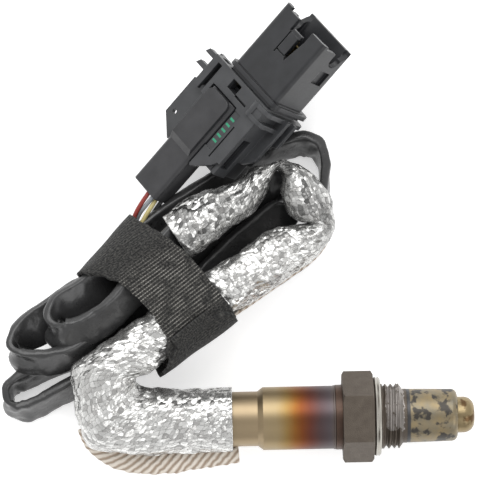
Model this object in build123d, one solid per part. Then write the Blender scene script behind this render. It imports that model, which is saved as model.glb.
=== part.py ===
"""Planar wideband oxygen sensor with heat-shielded, bundled lead and six-way connector.

Frame: +X runs along the sensor's axis towards its tip, +Z is up, and the origin lies
on that axis, in the front face of the sealing ring, which meets the exhaust boss. One
face of the hexagon lies flat on the surface that the sensor rests on. All lengths are
in millimetres.
"""
from build123d import *
import math
import os

# ---------------------------------------------------------------- driving sizes
# Threaded housing
HEX_ACROSS_FLATS = 22.0
HEX_LENGTH = 8.6
HEX_CHAMFER = 0.9
THREAD_DIAMETER = 18.0
THREAD_LENGTH = 7.0
GROOVE_DIAMETER = 16.8
GROOVE_FRONT = 0.1
NECK_DIAMETER = 15.0
NECK_LENGTH = 2.1
REAR_SPIGOT_DIAMETER = 16.2
REAR_SPIGOT_LENGTH = 4.6
FRONT_BORE_DIAMETER = 9.0
REAR_BORE_DIAMETER = 11.6
BORE_STEP_DEPTH = 5.0

# Captive sealing ring
GASKET_RADIAL_WIDTH = 2.0
GASKET_FACE_CLEARANCE = 0.4
GASKET_FOLD_RADIUS = 0.5
GASKET_GROOVE_DEPTH = 0.25
GASKET_THICKNESS = 1.9
GASKET_CLEARANCE = 0.08

# Protection tubes
OUTER_TUBE_DIAMETER = 14.9
OUTER_TUBE_END_DIAMETER = 14.4
OUTER_TUBE_LENGTH = 14.1
OUTER_TUBE_ROUNDING = 1.6
TUBE_WALL = 0.4
INNER_TUBE_DIAMETER = 10.0
INNER_TUBE_PROJECTION = 4.8
INNER_TUBE_LENGTH = 17.5
INNER_TUBE_ROUNDING = 3.0
TIP_HOLE_DIAMETER = 2.0
SIDE_HOLE_DIAMETER = 1.2
SIDE_HOLES = 6

# Rear sleeve
COLLAR_DIAMETER = 18.0
COLLAR_LENGTH = 1.9
SLEEVE_DIAMETER = 17.5
SLEEVE_LENGTH = 20.1
SLEEVE_WALL = 0.55
SLEEVE_TAPER_LENGTH = 1.5
REAR_SLEEVE_DIAMETER = 15.2
REAR_SLEEVE_LENGTH = 14.0
WELD_BEAD_HEIGHT = 0.15
WELD_BEAD_WIDTH = 0.5

# Inner parts
ELEMENT_WIDTH = 4.2
ELEMENT_THICKNESS = 1.4
ELEMENT_LENGTH = 50.0
ELEMENT_CLEARANCE = 0.05
STACK_CLEARANCE = 0.05
FRONT_BUSH_LENGTH = 4.4
POWDER_LENGTH = 4.0
REAR_BUSH_LENGTH = 5.6
HOLDER_DIAMETER = 13.0
HOLDER_LENGTH = 9.0
CONTACT_COUNT = 6
CONTACT_THICKNESS = 0.35
CONTACT_WIDTH = 0.8
GROMMET_LENGTH = 6.5
LEAD_HOLE_DIAMETER = 1.6
LEAD_HOLE_CIRCLE = 7.6

# Heat-shield sleeve over the lead
HEAT_SLEEVE_WIDE_DIAMETER = 18.2
HEAT_SLEEVE_DIAMETER = 13.6
HEAT_SLEEVE_OVERLAP = 7.0
HEAT_SLEEVE_WIDE_LENGTH = 17.5
HEAT_SLEEVE_CONE_LENGTH = 6.0
HEAT_SLEEVE_MOUTH_DEPTH = 7.0
HEAT_SLEEVE_MOUTH_WALL = 1.2
SEAM_THICKNESS = 1.2
SEAM_LEVEL = -3.0
SEAM_CLEARANCE = 0.1
SEAM_EDGE = [(-38.4, -12.2), (-51.9, -13.6), (-63.9, -14.4), (-70.9, -13.0)]

# Lead tube, wires and strap
LEAD_TUBE_DIAMETER = 7.0
WIRE_DIAMETER = 1.4
STRAP_LENGTH_ALONG_BUNDLE = 22.0
STRAP_THICKNESS = 1.3
STRAP_INNER_WIDTH = 39.2
STRAP_INNER_HEIGHT = 22.0
STRAP_CORNER_RADIUS = 4.5
STRAP_LAP_LENGTH = 14.0
STRAP_CENTRE = (-63.45, 34.08)
STRAP_YAW = 36.5

# Connector: x runs to the mouth, y to the left and z up in its own frame
CONNECTOR_CENTRE = (-34.6, 85.7, 4.4)
CONNECTOR_YAW = 47.3
CONNECTOR_PITCH = 14.0
CONNECTOR_ROLL = 28.5
SHROUD_WIDTH = 18.3
SHROUD_HEIGHT = 15.0
SHROUD_FRONT = 29.2
SHROUD_REAR = 8.6
SHROUD_WALL = 1.5
SHROUD_CORNER_RADIUS = 1.4
SHROUD_LIP = 0.9
LIP_HEIGHT = 2.1
LIP_SIDE_WIDTH = 2.6
BULKHEAD_THICKNESS = 3.0
LATCH_NOTCH_DEPTH = 3.9
LATCH_NOTCH_SIDES = (-3.6, 2.6)
TONGUE_SIDES = (-1.4, 1.8)
TONGUE_LENGTH = 7.3
TONGUE_SLIT = 0.35
TONGUE_TAPER = 0.9
TONGUE_BAR_LENGTH = 1.3
TONGUE_BAR_OVERHANG = 0.5
HINGE_GROOVE_WIDTH = 0.35
SIDE_POCKET_LENGTH = 4.4
SIDE_POCKET_HEIGHT = 5.0
SIDE_POCKET_SETBACK = 6.9
SIDE_POCKET_TOP = 0.2
SIDE_POCKET_DEPTH = 0.9
SIDE_NOTCH_RADIUS = 2.3
SIDE_NOTCH_DEPTH = 2.8
SIDE_NOTCH_HEIGHT = -2.4
SIDE_NOTCH_FLARE = 2.0
SIDE_EDGE_SETBACK = 0.9
SIDE_EDGE_TOP = 5.1
SHELL_CLEARANCE = 0.05
PIN_COUNT_PER_ROW = 3
PIN_PITCH = 4.2
PIN_ROW_SPACING = 5.0
PIN_SIZE = 1.2
PIN_PROJECTION = 11.0
BODY_FRONT = 6.0
BODY_REAR = -18.0
BODY_WIDTH = 15.6
BODY_BOTTOM = -7.0
BODY_TOP = 7.2
BODY_STEP = (1.5, 0.8)
COVER_REAR = -35.0
COVER_LEFT = 8.7
COVER_RIGHT = -1.4
COVER_TOP = 9.0
COVER_BOTTOM = 1.6
COVER_CORNER_RADIUS = 1.2
PANEL_FRONT = -0.6
PANEL_REAR = -17.5
PANEL_RISE = 1.3
PANEL_CORNER_RADIUS = 2.0
FLANGE_FRONT = 8.3
FLANGE_THICKNESS = 1.3
FLANGE_MARGIN = 1.5
FLANGE_DROP = 3.0
RAIL_THICKNESS = 1.4
RIB_FRONTS = (5.5, 1.9)
RIB_BOTTOMS = (-10.5, -8.8)
RIB_THICKNESS = 1.3
RIB_EDGE = -11.2
RIB_START = -5.2
RIB_RISE = 0.5
RIB_CORNER_RADIUS = 2.4
WING_EDGE = 17.2
WING_STEP = (-4.0, 1.5)
WING_TOP = 5.0
WING_TIP = -21.7
WING_CUT = 5.0
WING_HOLE = (-15.0, 14.8)
WING_HOLE_DIAMETER = 1.4
TOOTH_LENGTH = 4.1
TOOTH_WIDTH = 1.5
TOOTH_START = -0.7
TOOTH_PITCH = 4.1
DECK_LEFT = 14.4
LONG_SLOT = ((-5.7, 4.7), (10.5, 12.2))
LATCH_HOLE = ((1.8, 4.8), (1.3, 5.0))
LATCH_HOLE_DEPTH = 3.0
CROSS_SLOT = ((1.5, 2.1), (-3.5, 1.3))
GROOVE = ((-15.2, -4.3), (-5.3, -4.9))
GROOVE_DEPTH = 0.7
STRIP = ((-13.6, -1.0), (-4.1, -1.75))
STRIP_DEPTH = 0.45
DECK_TAIL = ((-21.0, -2.4), (-16.3, -7.5), (-14.6, -8.4))
DECK_STEP = -4.6
COVER_GAP = 0.35
RAIL_START = -12.0
UPPER_RAIL_EDGE = -12.4
UPPER_RAIL_TOP = 0.4
LOWER_RAIL_EDGE = -12.6
LOWER_RAIL_TOP = -3.4
WINDOW_SPAN = (-15.4, -5.2)
WINDOW_HEIGHT = (3.4, 7.0)
WINDOW_RECESS = 2.2
WIRE_BORE_CLEARANCE = 0.1
RESISTOR_DIAMETER = 2.4
RESISTOR_LENGTH = 6.4

# Routes of the soft parts, from end to end
HEAT_SLEEVE_ROUTE = [
    (-73.4, -0.8, 2.2), (-78.3, 4.9, 4.6), (-77.3, 12.4, 5.6), (-64.4, 20.6, 5.0),
    (-43.2, 34.7, 4.8), (-26.4, 45.0, 4.4), (-19.3, 49.4, 4.2), (-18.7, 57.1, 4.2),
    (-22.8, 63.9, 4.0), (-30.6, 64.9, 4.0), (-37.9, 61.5, 4.0), (-46.4, 56.2, 4.0),
    (-55.1, 51.2, 4.0),
]
LEAD_TUBE_ROUTE = [
    (-49.9, 54.2, 4.0), (-60.1, 44.7, 5.8), (-67.6, 34.7, 7.9), (-76.0, 27.5, 8.0),
    (-83.1, 24.0, 8.2), (-87.5, 25.2, 8.4), (-89.7, 28.8, 8.4), (-88.6, 33.3, 8.4),
    (-80.7, 38.9, 8.2), (-75.0, 44.7, 5.2), (-67.1, 50.8, -2.2), (-58.7, 56.2, -6.2),
    (-47.7, 63.2, -7.4), (-36.5, 71.7, -7.5), (-24.5, 76.4, -7.5), (-14.8, 74.3, -7.5),
    (-10.4, 65.8, -7.5), (-11.3, 55.2, -7.5), (-15.5, 44.9, -7.5), (-26.3, 37.7, -7.2),
    (-38.4, 32.2, -6.1), (-51.4, 24.6, -6.0), (-64.1, 16.4, -6.0), (-77.5, 11.0, -7.1),
    (-89.6, 5.5, -7.5), (-97.7, 1.4, -7.5), (-102.0, 2.3, -7.5), (-104.2, 6.1, -7.5),
    (-102.7, 10.4, -7.5), (-88.7, 16.1, -7.3), (-78.1, 18.5, -7.0), (-68.4, 22.3, -6.0),
    (-56.6, 29.9, -6.0), (-47.1, 37.2, -6.0), (-39.3, 43.4, -6.6), (-30.5, 50.0, -7.0),
    (-24.3, 55.2, -7.0), (-23.6, 59.6, -7.0), (-26.2, 63.1, -7.0), (-30.7, 63.4, -7.0),
    (-40.0, 56.2, -6.8), (-49.5, 47.1, -6.0), (-58.9, 38.0, -5.6), (-69.9, 29.3, -2.0),
    (-77.9, 23.4, -1.2), (-86.0, 18.4, 0.4), (-93.6, 16.7, 0.6), (-98.8, 17.9, 0.6),
    (-101.4, 22.2, 0.6), (-99.9, 27.2, 0.6), (-95.3, 30.9, 0.6), (-89.7, 34.3, 0.5),
    (-80.0, 36.3, 0.8), (-71.3, 38.0, 1.6),
]
# Each wire: (y, z) of its bore in the connector, then its route to the lead tube's end
WIRES = {
    "wire_red": ((3.2, 6.8), [(-65.4, 56.4, 3.4), (-68.0, 46.8, 5.5), (-70.6, 39.2, 2.9)]),
    "wire_grey": ((0.9, 6.8), [(-63.7, 54.2, 4.6), (-66.3, 43.8, 6.2), (-70.3, 37.2, 2.9)]),
    "wire_yellow": ((1.8, 4.5), [(-63.1, 53.5, 2.2), (-67.1, 45.6, 3.6), (-70.5, 39.2, 1.0)]),
    "wire_black": ((-0.4, 4.5), [(-60.9, 50.7, 2.9), (-65.7, 42.8, 3.7), (-70.2, 37.2, 0.9)]),
}
WIRE_BORE_DEPTH = 4.0
WIRE_STRAIGHT = 3.5

# ---------------------------------------------------------------- derived places
HEX_FRONT = -GASKET_THICKNESS
HEX_REAR = HEX_FRONT - HEX_LENGTH
SPIGOT_REAR = HEX_REAR - REAR_SPIGOT_LENGTH
THREAD_FRONT = HEX_FRONT + THREAD_LENGTH
NECK_FRONT = THREAD_FRONT + NECK_LENGTH
OUTER_TUBE_FRONT = NECK_FRONT + OUTER_TUBE_LENGTH
INNER_TUBE_FRONT = OUTER_TUBE_FRONT + INNER_TUBE_PROJECTION
COLLAR_REAR = HEX_REAR - COLLAR_LENGTH
SLEEVE_REAR = COLLAR_REAR - SLEEVE_LENGTH
TAPER_REAR = SLEEVE_REAR - SLEEVE_TAPER_LENGTH
REAR_SLEEVE_REAR = TAPER_REAR - REAR_SLEEVE_LENGTH
HEAT_SLEEVE_FRONT = REAR_SLEEVE_REAR + HEAT_SLEEVE_OVERLAP
FLOOR = -HEX_ACROSS_FLATS / 2


def turned(profile):
    """Solid of revolution about X from (x, radius) points of a closed outline."""
    return revolve(Plane.XY * make_face(Polyline(*profile, close=True)), Axis.X)


def rod(start, end, diameter):
    """Round bar on the X axis."""
    return Plane(origin=(start, 0, 0), z_dir=(1, 0, 0)) * Cylinder(
        diameter / 2, end - start, align=(Align.CENTER, Align.CENTER, Align.MIN))


def block(x_range, y_range, z_range):
    """Box from its limits along each axis."""
    sizes = [high - low for low, high in (x_range, y_range, z_range)]
    centre = [(high + low) / 2 for low, high in (x_range, y_range, z_range)]
    return Pos(*centre) * Box(*sizes)


def corner_radii(points):
    """Largest tangent arc at each inner point of a cord's route."""
    radii = []
    for before, corner, after in zip(points, points[1:], points[2:]):
        arriving = Vector(*corner) - Vector(*before)
        leaving = Vector(*after) - Vector(*corner)
        half_turn = math.radians(arriving.get_angle(leaving)) / 2
        radii.append(0.45 * min(arriving.length, leaving.length) / math.tan(half_turn))
    return radii


def cord(name, points, diameter):
    """Round cord along straight runs joined by tangent arcs."""
    radii = corner_radii(points)
    path = FilletPolyline(*points, radius=radii)
    section = Plane(origin=points[0], z_dir=path % 0) * Circle(diameter / 2)
    solid = sweep(section, path=path)
    share = solid.volume / (section.area * path.length)
    print(f"{name}: length {path.length:.0f}, volume share {share:.3f}, "
          f"radii {' '.join(f'{radius:.1f}' for radius in radii)}")
    return solid


# ---------------------------------------------------------------- sensor, outside
def hex_shell():
    """Threaded housing: hexagon, thread, neck, rear spigot and stepped bore."""
    hexagon = Plane(origin=(HEX_REAR, 0, 0), x_dir=(0, 1, 0), z_dir=(1, 0, 0)) * extrude(
        RegularPolygon(HEX_ACROSS_FLATS / 2, 6, major_radius=False), HEX_LENGTH)
    across_corners = HEX_ACROSS_FLATS / math.cos(math.radians(30))
    tip_radius = across_corners / 2 - HEX_CHAMFER
    chamfer_width = HEX_CHAMFER * math.tan(math.radians(30))
    barrel = turned([
        (HEX_REAR, 0), (HEX_REAR, tip_radius), (HEX_REAR + chamfer_width, across_corners / 2),
        (HEX_FRONT - chamfer_width, across_corners / 2), (HEX_FRONT, tip_radius),
        (HEX_FRONT, 0),
    ])
    front = turned([
        (HEX_FRONT - 1, 0), (HEX_FRONT - 1, GROOVE_DIAMETER / 2),
        (GROOVE_FRONT, GROOVE_DIAMETER / 2), (GROOVE_FRONT, THREAD_DIAMETER / 2),
        (THREAD_FRONT, THREAD_DIAMETER / 2),
        (THREAD_FRONT + NECK_LENGTH / 2, NECK_DIAMETER / 2),
        (NECK_FRONT, NECK_DIAMETER / 2), (NECK_FRONT, 0),
    ])
    spigot = rod(SPIGOT_REAR, HEX_REAR + 1, REAR_SPIGOT_DIAMETER)
    body = (hexagon & barrel) + front + spigot
    body -= rod(SPIGOT_REAR - 1, NECK_FRONT + 1, FRONT_BORE_DIAMETER)
    body -= rod(SPIGOT_REAR - 1, HEX_REAR + BORE_STEP_DEPTH, REAR_BORE_DIAMETER)
    tube_seat = OUTER_TUBE_DIAMETER - 2 * TUBE_WALL - 2 * STACK_CLEARANCE
    seat_ring = rod(NECK_FRONT, NECK_FRONT + 1.2, tube_seat) - rod(
        NECK_FRONT, NECK_FRONT + 1.2, INNER_TUBE_DIAMETER + 2 * STACK_CLEARANCE)
    return body + seat_ring


def gasket_ring():
    """Captive sealing ring, folded from sheet, held in the groove behind the thread."""
    inner = GROOVE_DIAMETER / 2 + GASKET_CLEARANCE
    face_inner = THREAD_DIAMETER / 2 + GASKET_FACE_CLEARANCE
    outer = THREAD_DIAMETER / 2 + GASKET_RADIAL_WIDTH
    face_outer = outer - GASKET_FOLD_RADIUS
    rear = HEX_FRONT + STACK_CLEARANCE
    middle = rear / 2
    return turned([
        (rear, face_inner), (rear, face_outer), (rear * 0.75, outer),
        (middle, outer - GASKET_GROOVE_DEPTH), (rear * 0.25, outer), (0, face_outer),
        (0, face_inner), (middle, inner),
    ])


def outer_protection_tube():
    """Tapered outer tube with a rounded shoulder round the inner tube."""
    outer = OUTER_TUBE_DIAMETER / 2
    end = OUTER_TUBE_END_DIAMETER / 2
    bore = INNER_TUBE_DIAMETER / 2 + STACK_CLEARANCE
    shape = turned([
        (NECK_FRONT, 0), (NECK_FRONT, outer), (NECK_FRONT + 1.1, outer),
        (OUTER_TUBE_FRONT, end), (OUTER_TUBE_FRONT, 0),
    ])
    shape = fillet(shape.edges().group_by(Axis.X)[-1], OUTER_TUBE_ROUNDING)
    hollow = turned([
        (NECK_FRONT, 0), (NECK_FRONT, outer - TUBE_WALL),
        (OUTER_TUBE_FRONT - TUBE_WALL, end - TUBE_WALL), (OUTER_TUBE_FRONT - TUBE_WALL, 0),
    ])
    hollow = fillet(hollow.edges().group_by(Axis.X)[-1], OUTER_TUBE_ROUNDING - TUBE_WALL)
    return shape - hollow - rod(NECK_FRONT, OUTER_TUBE_FRONT + 1, 2 * bore)


def inner_protection_tube():
    """Inner tube with a domed end, a gas hole in the tip and a ring of holes within."""
    rear = INNER_TUBE_FRONT - INNER_TUBE_LENGTH
    tube = rod(rear, INNER_TUBE_FRONT, INNER_TUBE_DIAMETER)
    tube = fillet(tube.edges().group_by(Axis.X)[-1], INNER_TUBE_ROUNDING)
    hollow = rod(rear, INNER_TUBE_FRONT - TUBE_WALL, INNER_TUBE_DIAMETER - 2 * TUBE_WALL)
    hollow = fillet(hollow.edges().group_by(Axis.X)[-1], INNER_TUBE_ROUNDING - TUBE_WALL)
    tube -= hollow + rod(INNER_TUBE_FRONT - 2, INNER_TUBE_FRONT + 1, TIP_HOLE_DIAMETER)
    hole_x = (rear + OUTER_TUBE_FRONT) / 2
    for index in range(SIDE_HOLES):
        drill = Pos(hole_x, 0, 0) * Cylinder(
            SIDE_HOLE_DIAMETER / 2, INNER_TUBE_DIAMETER,
            align=(Align.CENTER, Align.CENTER, Align.MIN))
        tube -= Rot(360 / SIDE_HOLES * index, 0, 0) * drill
    return tube


def weld_collar():
    """Ring behind the hexagon that the rear sleeve is welded to."""
    collar = rod(COLLAR_REAR, HEX_REAR - STACK_CLEARANCE, COLLAR_DIAMETER)
    return collar - rod(COLLAR_REAR - 1, HEX_REAR + 1, REAR_SPIGOT_DIAMETER + 2 * STACK_CLEARANCE)


def rear_sleeve():
    """Drawn tube that steps down to the cable end, with its weld bead at the front."""
    front = COLLAR_REAR - STACK_CLEARANCE
    wide, narrow = SLEEVE_DIAMETER / 2, REAR_SLEEVE_DIAMETER / 2
    bead = wide + WELD_BEAD_HEIGHT
    return turned([
        (front, wide - SLEEVE_WALL), (front, wide), (front - 0.1, bead),
        (front - WELD_BEAD_WIDTH, bead), (front - WELD_BEAD_WIDTH - 0.1, wide),
        (SLEEVE_REAR, wide), (TAPER_REAR, narrow), (REAR_SLEEVE_REAR, narrow),
        (REAR_SLEEVE_REAR, narrow - SLEEVE_WALL), (TAPER_REAR, narrow - SLEEVE_WALL),
        (SLEEVE_REAR, wide - SLEEVE_WALL),
    ])


# ---------------------------------------------------------------- sensor, inside
ELEMENT_FRONT = INNER_TUBE_FRONT - 4.0
ELEMENT_REAR = ELEMENT_FRONT - ELEMENT_LENGTH
STACK_FRONT = NECK_FRONT - 0.8
BUSH_DIAMETER = FRONT_BORE_DIAMETER - 2 * STACK_CLEARANCE
POWDER_FRONT = STACK_FRONT - FRONT_BUSH_LENGTH - STACK_CLEARANCE
REAR_BUSH_FRONT = POWDER_FRONT - POWDER_LENGTH - STACK_CLEARANCE
REAR_BUSH_REAR = REAR_BUSH_FRONT - REAR_BUSH_LENGTH
HOLDER_FRONT = SPIGOT_REAR - 6.0
GROMMET_FRONT = TAPER_REAR - 1.0


def element_slot(start, end):
    """Slot that lets the sensing strip through a ceramic piece."""
    half_width = ELEMENT_WIDTH / 2 + ELEMENT_CLEARANCE
    half_height = ELEMENT_THICKNESS / 2 + ELEMENT_CLEARANCE
    return block((start, end), (-half_width, half_width), (-half_height, half_height))


def sensing_element():
    """Planar ceramic strip, from the gas space back to the contacts."""
    return block((ELEMENT_REAR, ELEMENT_FRONT), (-ELEMENT_WIDTH / 2, ELEMENT_WIDTH / 2),
                 (-ELEMENT_THICKNESS / 2, ELEMENT_THICKNESS / 2))


def stack_piece(front, length):
    """Round piece of the seal stack, with the strip's slot through it."""
    piece = rod(front - length, front, BUSH_DIAMETER)
    return piece - element_slot(front - length - 1, front + 1)


def press_ring():
    """Ring that holds the seal stack in the housing's rear bore."""
    front = REAR_BUSH_REAR - STACK_CLEARANCE
    rear = front - 2.6
    ring = rod(rear, front, FRONT_BORE_DIAMETER - 2 * STACK_CLEARANCE)
    return ring - rod(rear - 1, front + 1, ELEMENT_WIDTH + 1.4)


def contact_holder():
    """Ceramic holder round the strip's rear end, with a groove for each contact."""
    rear = HOLDER_FRONT - HOLDER_LENGTH
    holder = rod(rear, HOLDER_FRONT, HOLDER_DIAMETER)
    half_width = ELEMENT_WIDTH / 2 + 0.6
    half_height = ELEMENT_THICKNESS / 2 + CONTACT_THICKNESS + 2 * ELEMENT_CLEARANCE
    return holder - block((rear - 1, HOLDER_FRONT + 1), (-half_width, half_width),
                          (-half_height, half_height))


def contacts():
    """Spring contacts on both faces of the strip, three to a face."""
    rear = HOLDER_FRONT - HOLDER_LENGTH
    low = ELEMENT_THICKNESS / 2 + ELEMENT_CLEARANCE
    pitch = ELEMENT_WIDTH / 3
    strips = []
    for index in range(CONTACT_COUNT):
        column = index % 3 - 1
        side = 1 if index < 3 else -1
        y_middle = column * pitch
        z_range = sorted((side * low, side * (low + CONTACT_THICKNESS)))
        strips.append(block((rear, HOLDER_FRONT),
                            (y_middle - CONTACT_WIDTH / 2, y_middle + CONTACT_WIDTH / 2), z_range))
    return Compound(children=strips)


def seal_grommet():
    """Soft plug in the rear sleeve, with one hole for each lead."""
    diameter = REAR_SLEEVE_DIAMETER - 2 * SLEEVE_WALL - 2 * STACK_CLEARANCE
    rear = GROMMET_FRONT - GROMMET_LENGTH
    plug = rod(rear, GROMMET_FRONT, diameter)
    hole = Plane(origin=(rear - 1, LEAD_HOLE_CIRCLE / 2, 0), z_dir=(1, 0, 0)) * Cylinder(
        LEAD_HOLE_DIAMETER / 2, GROMMET_LENGTH + 2,
        align=(Align.CENTER, Align.CENTER, Align.MIN))
    for index in range(CONTACT_COUNT):
        plug -= Rot(360 / CONTACT_COUNT * index, 0, 0) * hole
    return plug


# ---------------------------------------------------------------- soft parts
def heat_sleeve():
    """Crinkled sleeve: wide over the sensor's cable end, narrow and open at its far end."""
    wide_rear = HEAT_SLEEVE_FRONT - HEAT_SLEEVE_WIDE_LENGTH
    cone_rear = wide_rear - HEAT_SLEEVE_CONE_LENGTH
    straight = turned([
        (HEAT_SLEEVE_FRONT, 0), (HEAT_SLEEVE_FRONT, HEAT_SLEEVE_WIDE_DIAMETER / 2),
        (wide_rear, HEAT_SLEEVE_WIDE_DIAMETER / 2), (cone_rear, HEAT_SLEEVE_DIAMETER / 2),
        (cone_rear, 0),
    ])
    pocket = rod(REAR_SLEEVE_REAR - STACK_CLEARANCE, HEAT_SLEEVE_FRONT + 1,
                 REAR_SLEEVE_DIAMETER + 2 * STACK_CLEARANCE)
    bent = cord("heat_sleeve", [(cone_rear, 0, 0)] + HEAT_SLEEVE_ROUTE, HEAT_SLEEVE_DIAMETER)
    end = Vector(*HEAT_SLEEVE_ROUTE[-1])
    inward = (Vector(*HEAT_SLEEVE_ROUTE[-2]) - end).normalized()
    mouth = Plane(origin=end - inward, z_dir=inward) * Cylinder(
        HEAT_SLEEVE_DIAMETER / 2 - HEAT_SLEEVE_MOUTH_WALL, HEAT_SLEEVE_MOUTH_DEPTH + 1,
        align=(Align.CENTER, Align.CENTER, Align.MIN))
    return straight + bent - pocket - mouth


def sleeve_seam():
    """Stitched selvedge that stands out along the sleeve's side, next to the sensor."""
    outline = SEAM_EDGE + [(SEAM_EDGE[-1][0], 0), (SEAM_EDGE[0][0], 0)]
    fin = Pos(0, 0, SEAM_LEVEL) * extrude(
        make_face(Polyline(*outline, close=True)), SEAM_THICKNESS / 2, both=True)
    core_radius = HEAT_SLEEVE_WIDE_DIAMETER / 2 + SEAM_CLEARANCE
    wide_rear = HEAT_SLEEVE_FRONT - HEAT_SLEEVE_WIDE_LENGTH
    narrow_radius = core_radius - (HEAT_SLEEVE_WIDE_DIAMETER - HEAT_SLEEVE_DIAMETER) / 2
    core = turned([
        (0, 0), (0, core_radius), (wide_rear, core_radius),
        (wide_rear - HEAT_SLEEVE_CONE_LENGTH, narrow_radius + 1),
        (wide_rear - 3 * HEAT_SLEEVE_CONE_LENGTH, narrow_radius + 1),
        (wide_rear - 3 * HEAT_SLEEVE_CONE_LENGTH, 0),
    ])
    return fin - core


def strap():
    """Hook-and-loop strap round the bundle, its end lapped over itself on top."""
    outer_width = STRAP_INNER_WIDTH + 2 * STRAP_THICKNESS
    outer_height = STRAP_INNER_HEIGHT + 2 * STRAP_THICKNESS
    outer = RectangleRounded(outer_width, outer_height, STRAP_CORNER_RADIUS + STRAP_THICKNESS)
    inner = RectangleRounded(STRAP_INNER_WIDTH, STRAP_INNER_HEIGHT, STRAP_CORNER_RADIUS)
    lap_edge = -outer_width / 2 + STRAP_CORNER_RADIUS + STRAP_THICKNESS
    lap = Pos(lap_edge + STRAP_LAP_LENGTH / 2, (outer_height + STRAP_THICKNESS) / 2) * Rectangle(
        STRAP_LAP_LENGTH, STRAP_THICKNESS)
    band = extrude(outer - inner + lap, STRAP_LENGTH_ALONG_BUNDLE / 2, both=True)
    along = Vector(1, 0, 0).rotate(Axis.Z, STRAP_YAW)
    across = Vector(0, 1, 0).rotate(Axis.Z, STRAP_YAW)
    place = Plane(origin=(*STRAP_CENTRE, FLOOR + outer_height / 2), x_dir=across, z_dir=along)
    return place * band


# ---------------------------------------------------------------- connector
def in_place(shape):
    """Move a connector piece from the connector's frame to the part's frame."""
    turn = Rot(0, 0, CONNECTOR_YAW) * Rot(0, -CONNECTOR_PITCH, 0) * Rot(-CONNECTOR_ROLL, 0, 0)
    return Pos(*CONNECTOR_CENTRE) * turn * shape


def connector_point(x, y, z):
    """Point of the connector's frame in the part's frame."""
    return in_place(Pos(x, y, z)).position


def rounded_bar(x_range, y_range, z_range, radius):
    """Bar along X with rounded long edges."""
    width, height = y_range[1] - y_range[0], z_range[1] - z_range[0]
    middle = (x_range[0], sum(y_range) / 2, sum(z_range) / 2)
    plane = Plane(origin=middle, x_dir=(0, 1, 0), z_dir=(1, 0, 0))
    return plane * extrude(RectangleRounded(width, height, radius), x_range[1] - x_range[0])


def pin_places():
    """(y, z) of each terminal pin."""
    return [((column - (PIN_COUNT_PER_ROW - 1) / 2) * PIN_PITCH, row * PIN_ROW_SPACING / 2)
            for row in (-1, 1) for column in range(PIN_COUNT_PER_ROW)]


def connector_shroud():
    """Open shroud with latch notch, spring tongue, side pockets and pin bulkhead."""
    half_width, half_height = SHROUD_WIDTH / 2, SHROUD_HEIGHT / 2
    lip_front = SHROUD_FRONT + SHROUD_LIP
    shell = rounded_bar((SHROUD_REAR, lip_front), (-half_width, half_width),
                        (-half_height, half_height), SHROUD_CORNER_RADIUS)
    shell -= block((SHROUD_FRONT, lip_front + 1), (-half_width - 1, half_width - LIP_SIDE_WIDTH),
                   (-half_height + LIP_HEIGHT, half_height + 1))
    socket_rear = SHROUD_REAR + BULKHEAD_THICKNESS
    shell -= rounded_bar((socket_rear, lip_front + 1),
                         (-half_width + SHROUD_WALL, half_width - SHROUD_WALL),
                         (-half_height + SHROUD_WALL, half_height - SHROUD_WALL), 0.6)
    shell -= latch_cut(half_height)
    notch_rear = SHROUD_FRONT - LATCH_NOTCH_DEPTH
    shell += block((notch_rear - 0.3, notch_rear - 0.3 + TONGUE_BAR_LENGTH),
                   (TONGUE_SIDES[0] - TONGUE_BAR_OVERHANG, TONGUE_SIDES[1]),
                   (half_height - SHROUD_WALL, half_height - 0.1))
    for side in (-1, 1):
        shell -= side_cuts(side, half_width)
    for y, z in pin_places():
        hole = PIN_SIZE / 2 + SHELL_CLEARANCE
        shell -= block((SHROUD_REAR - 1, socket_rear + 1), (y - hole, y + hole),
                       (z - hole, z + hole))
    return shell


def latch_cut(half_height):
    """Notch in the shroud's roof, the slits beside its spring tongue and its hinge groove."""
    notch_rear = SHROUD_FRONT - LATCH_NOTCH_DEPTH
    root = notch_rear - TONGUE_LENGTH
    right, left = TONGUE_SIDES
    floor = half_height - SHROUD_WALL - 0.5
    height = SHROUD_WALL + 1.5
    notch = block((notch_rear, SHROUD_FRONT + 2), LATCH_NOTCH_SIDES, (floor, floor + height))
    left_slit = block((root, notch_rear + 1), (left, left + TONGUE_SLIT),
                      (floor, floor + height))
    wedge = Pos(0, 0, floor) * extrude(make_face(Polyline(
        (root, right - TONGUE_TAPER), (root + 1.3, right), (notch_rear + 0.5, right),
        (notch_rear + 0.5, LATCH_NOTCH_SIDES[0]), close=True)), height)
    hinge = block((root + 1, root + 1 + HINGE_GROOVE_WIDTH), (right - 0.1, left + 0.1),
                  (half_height - 0.6, half_height + 1))
    return notch + left_slit + wedge + hinge


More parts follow.
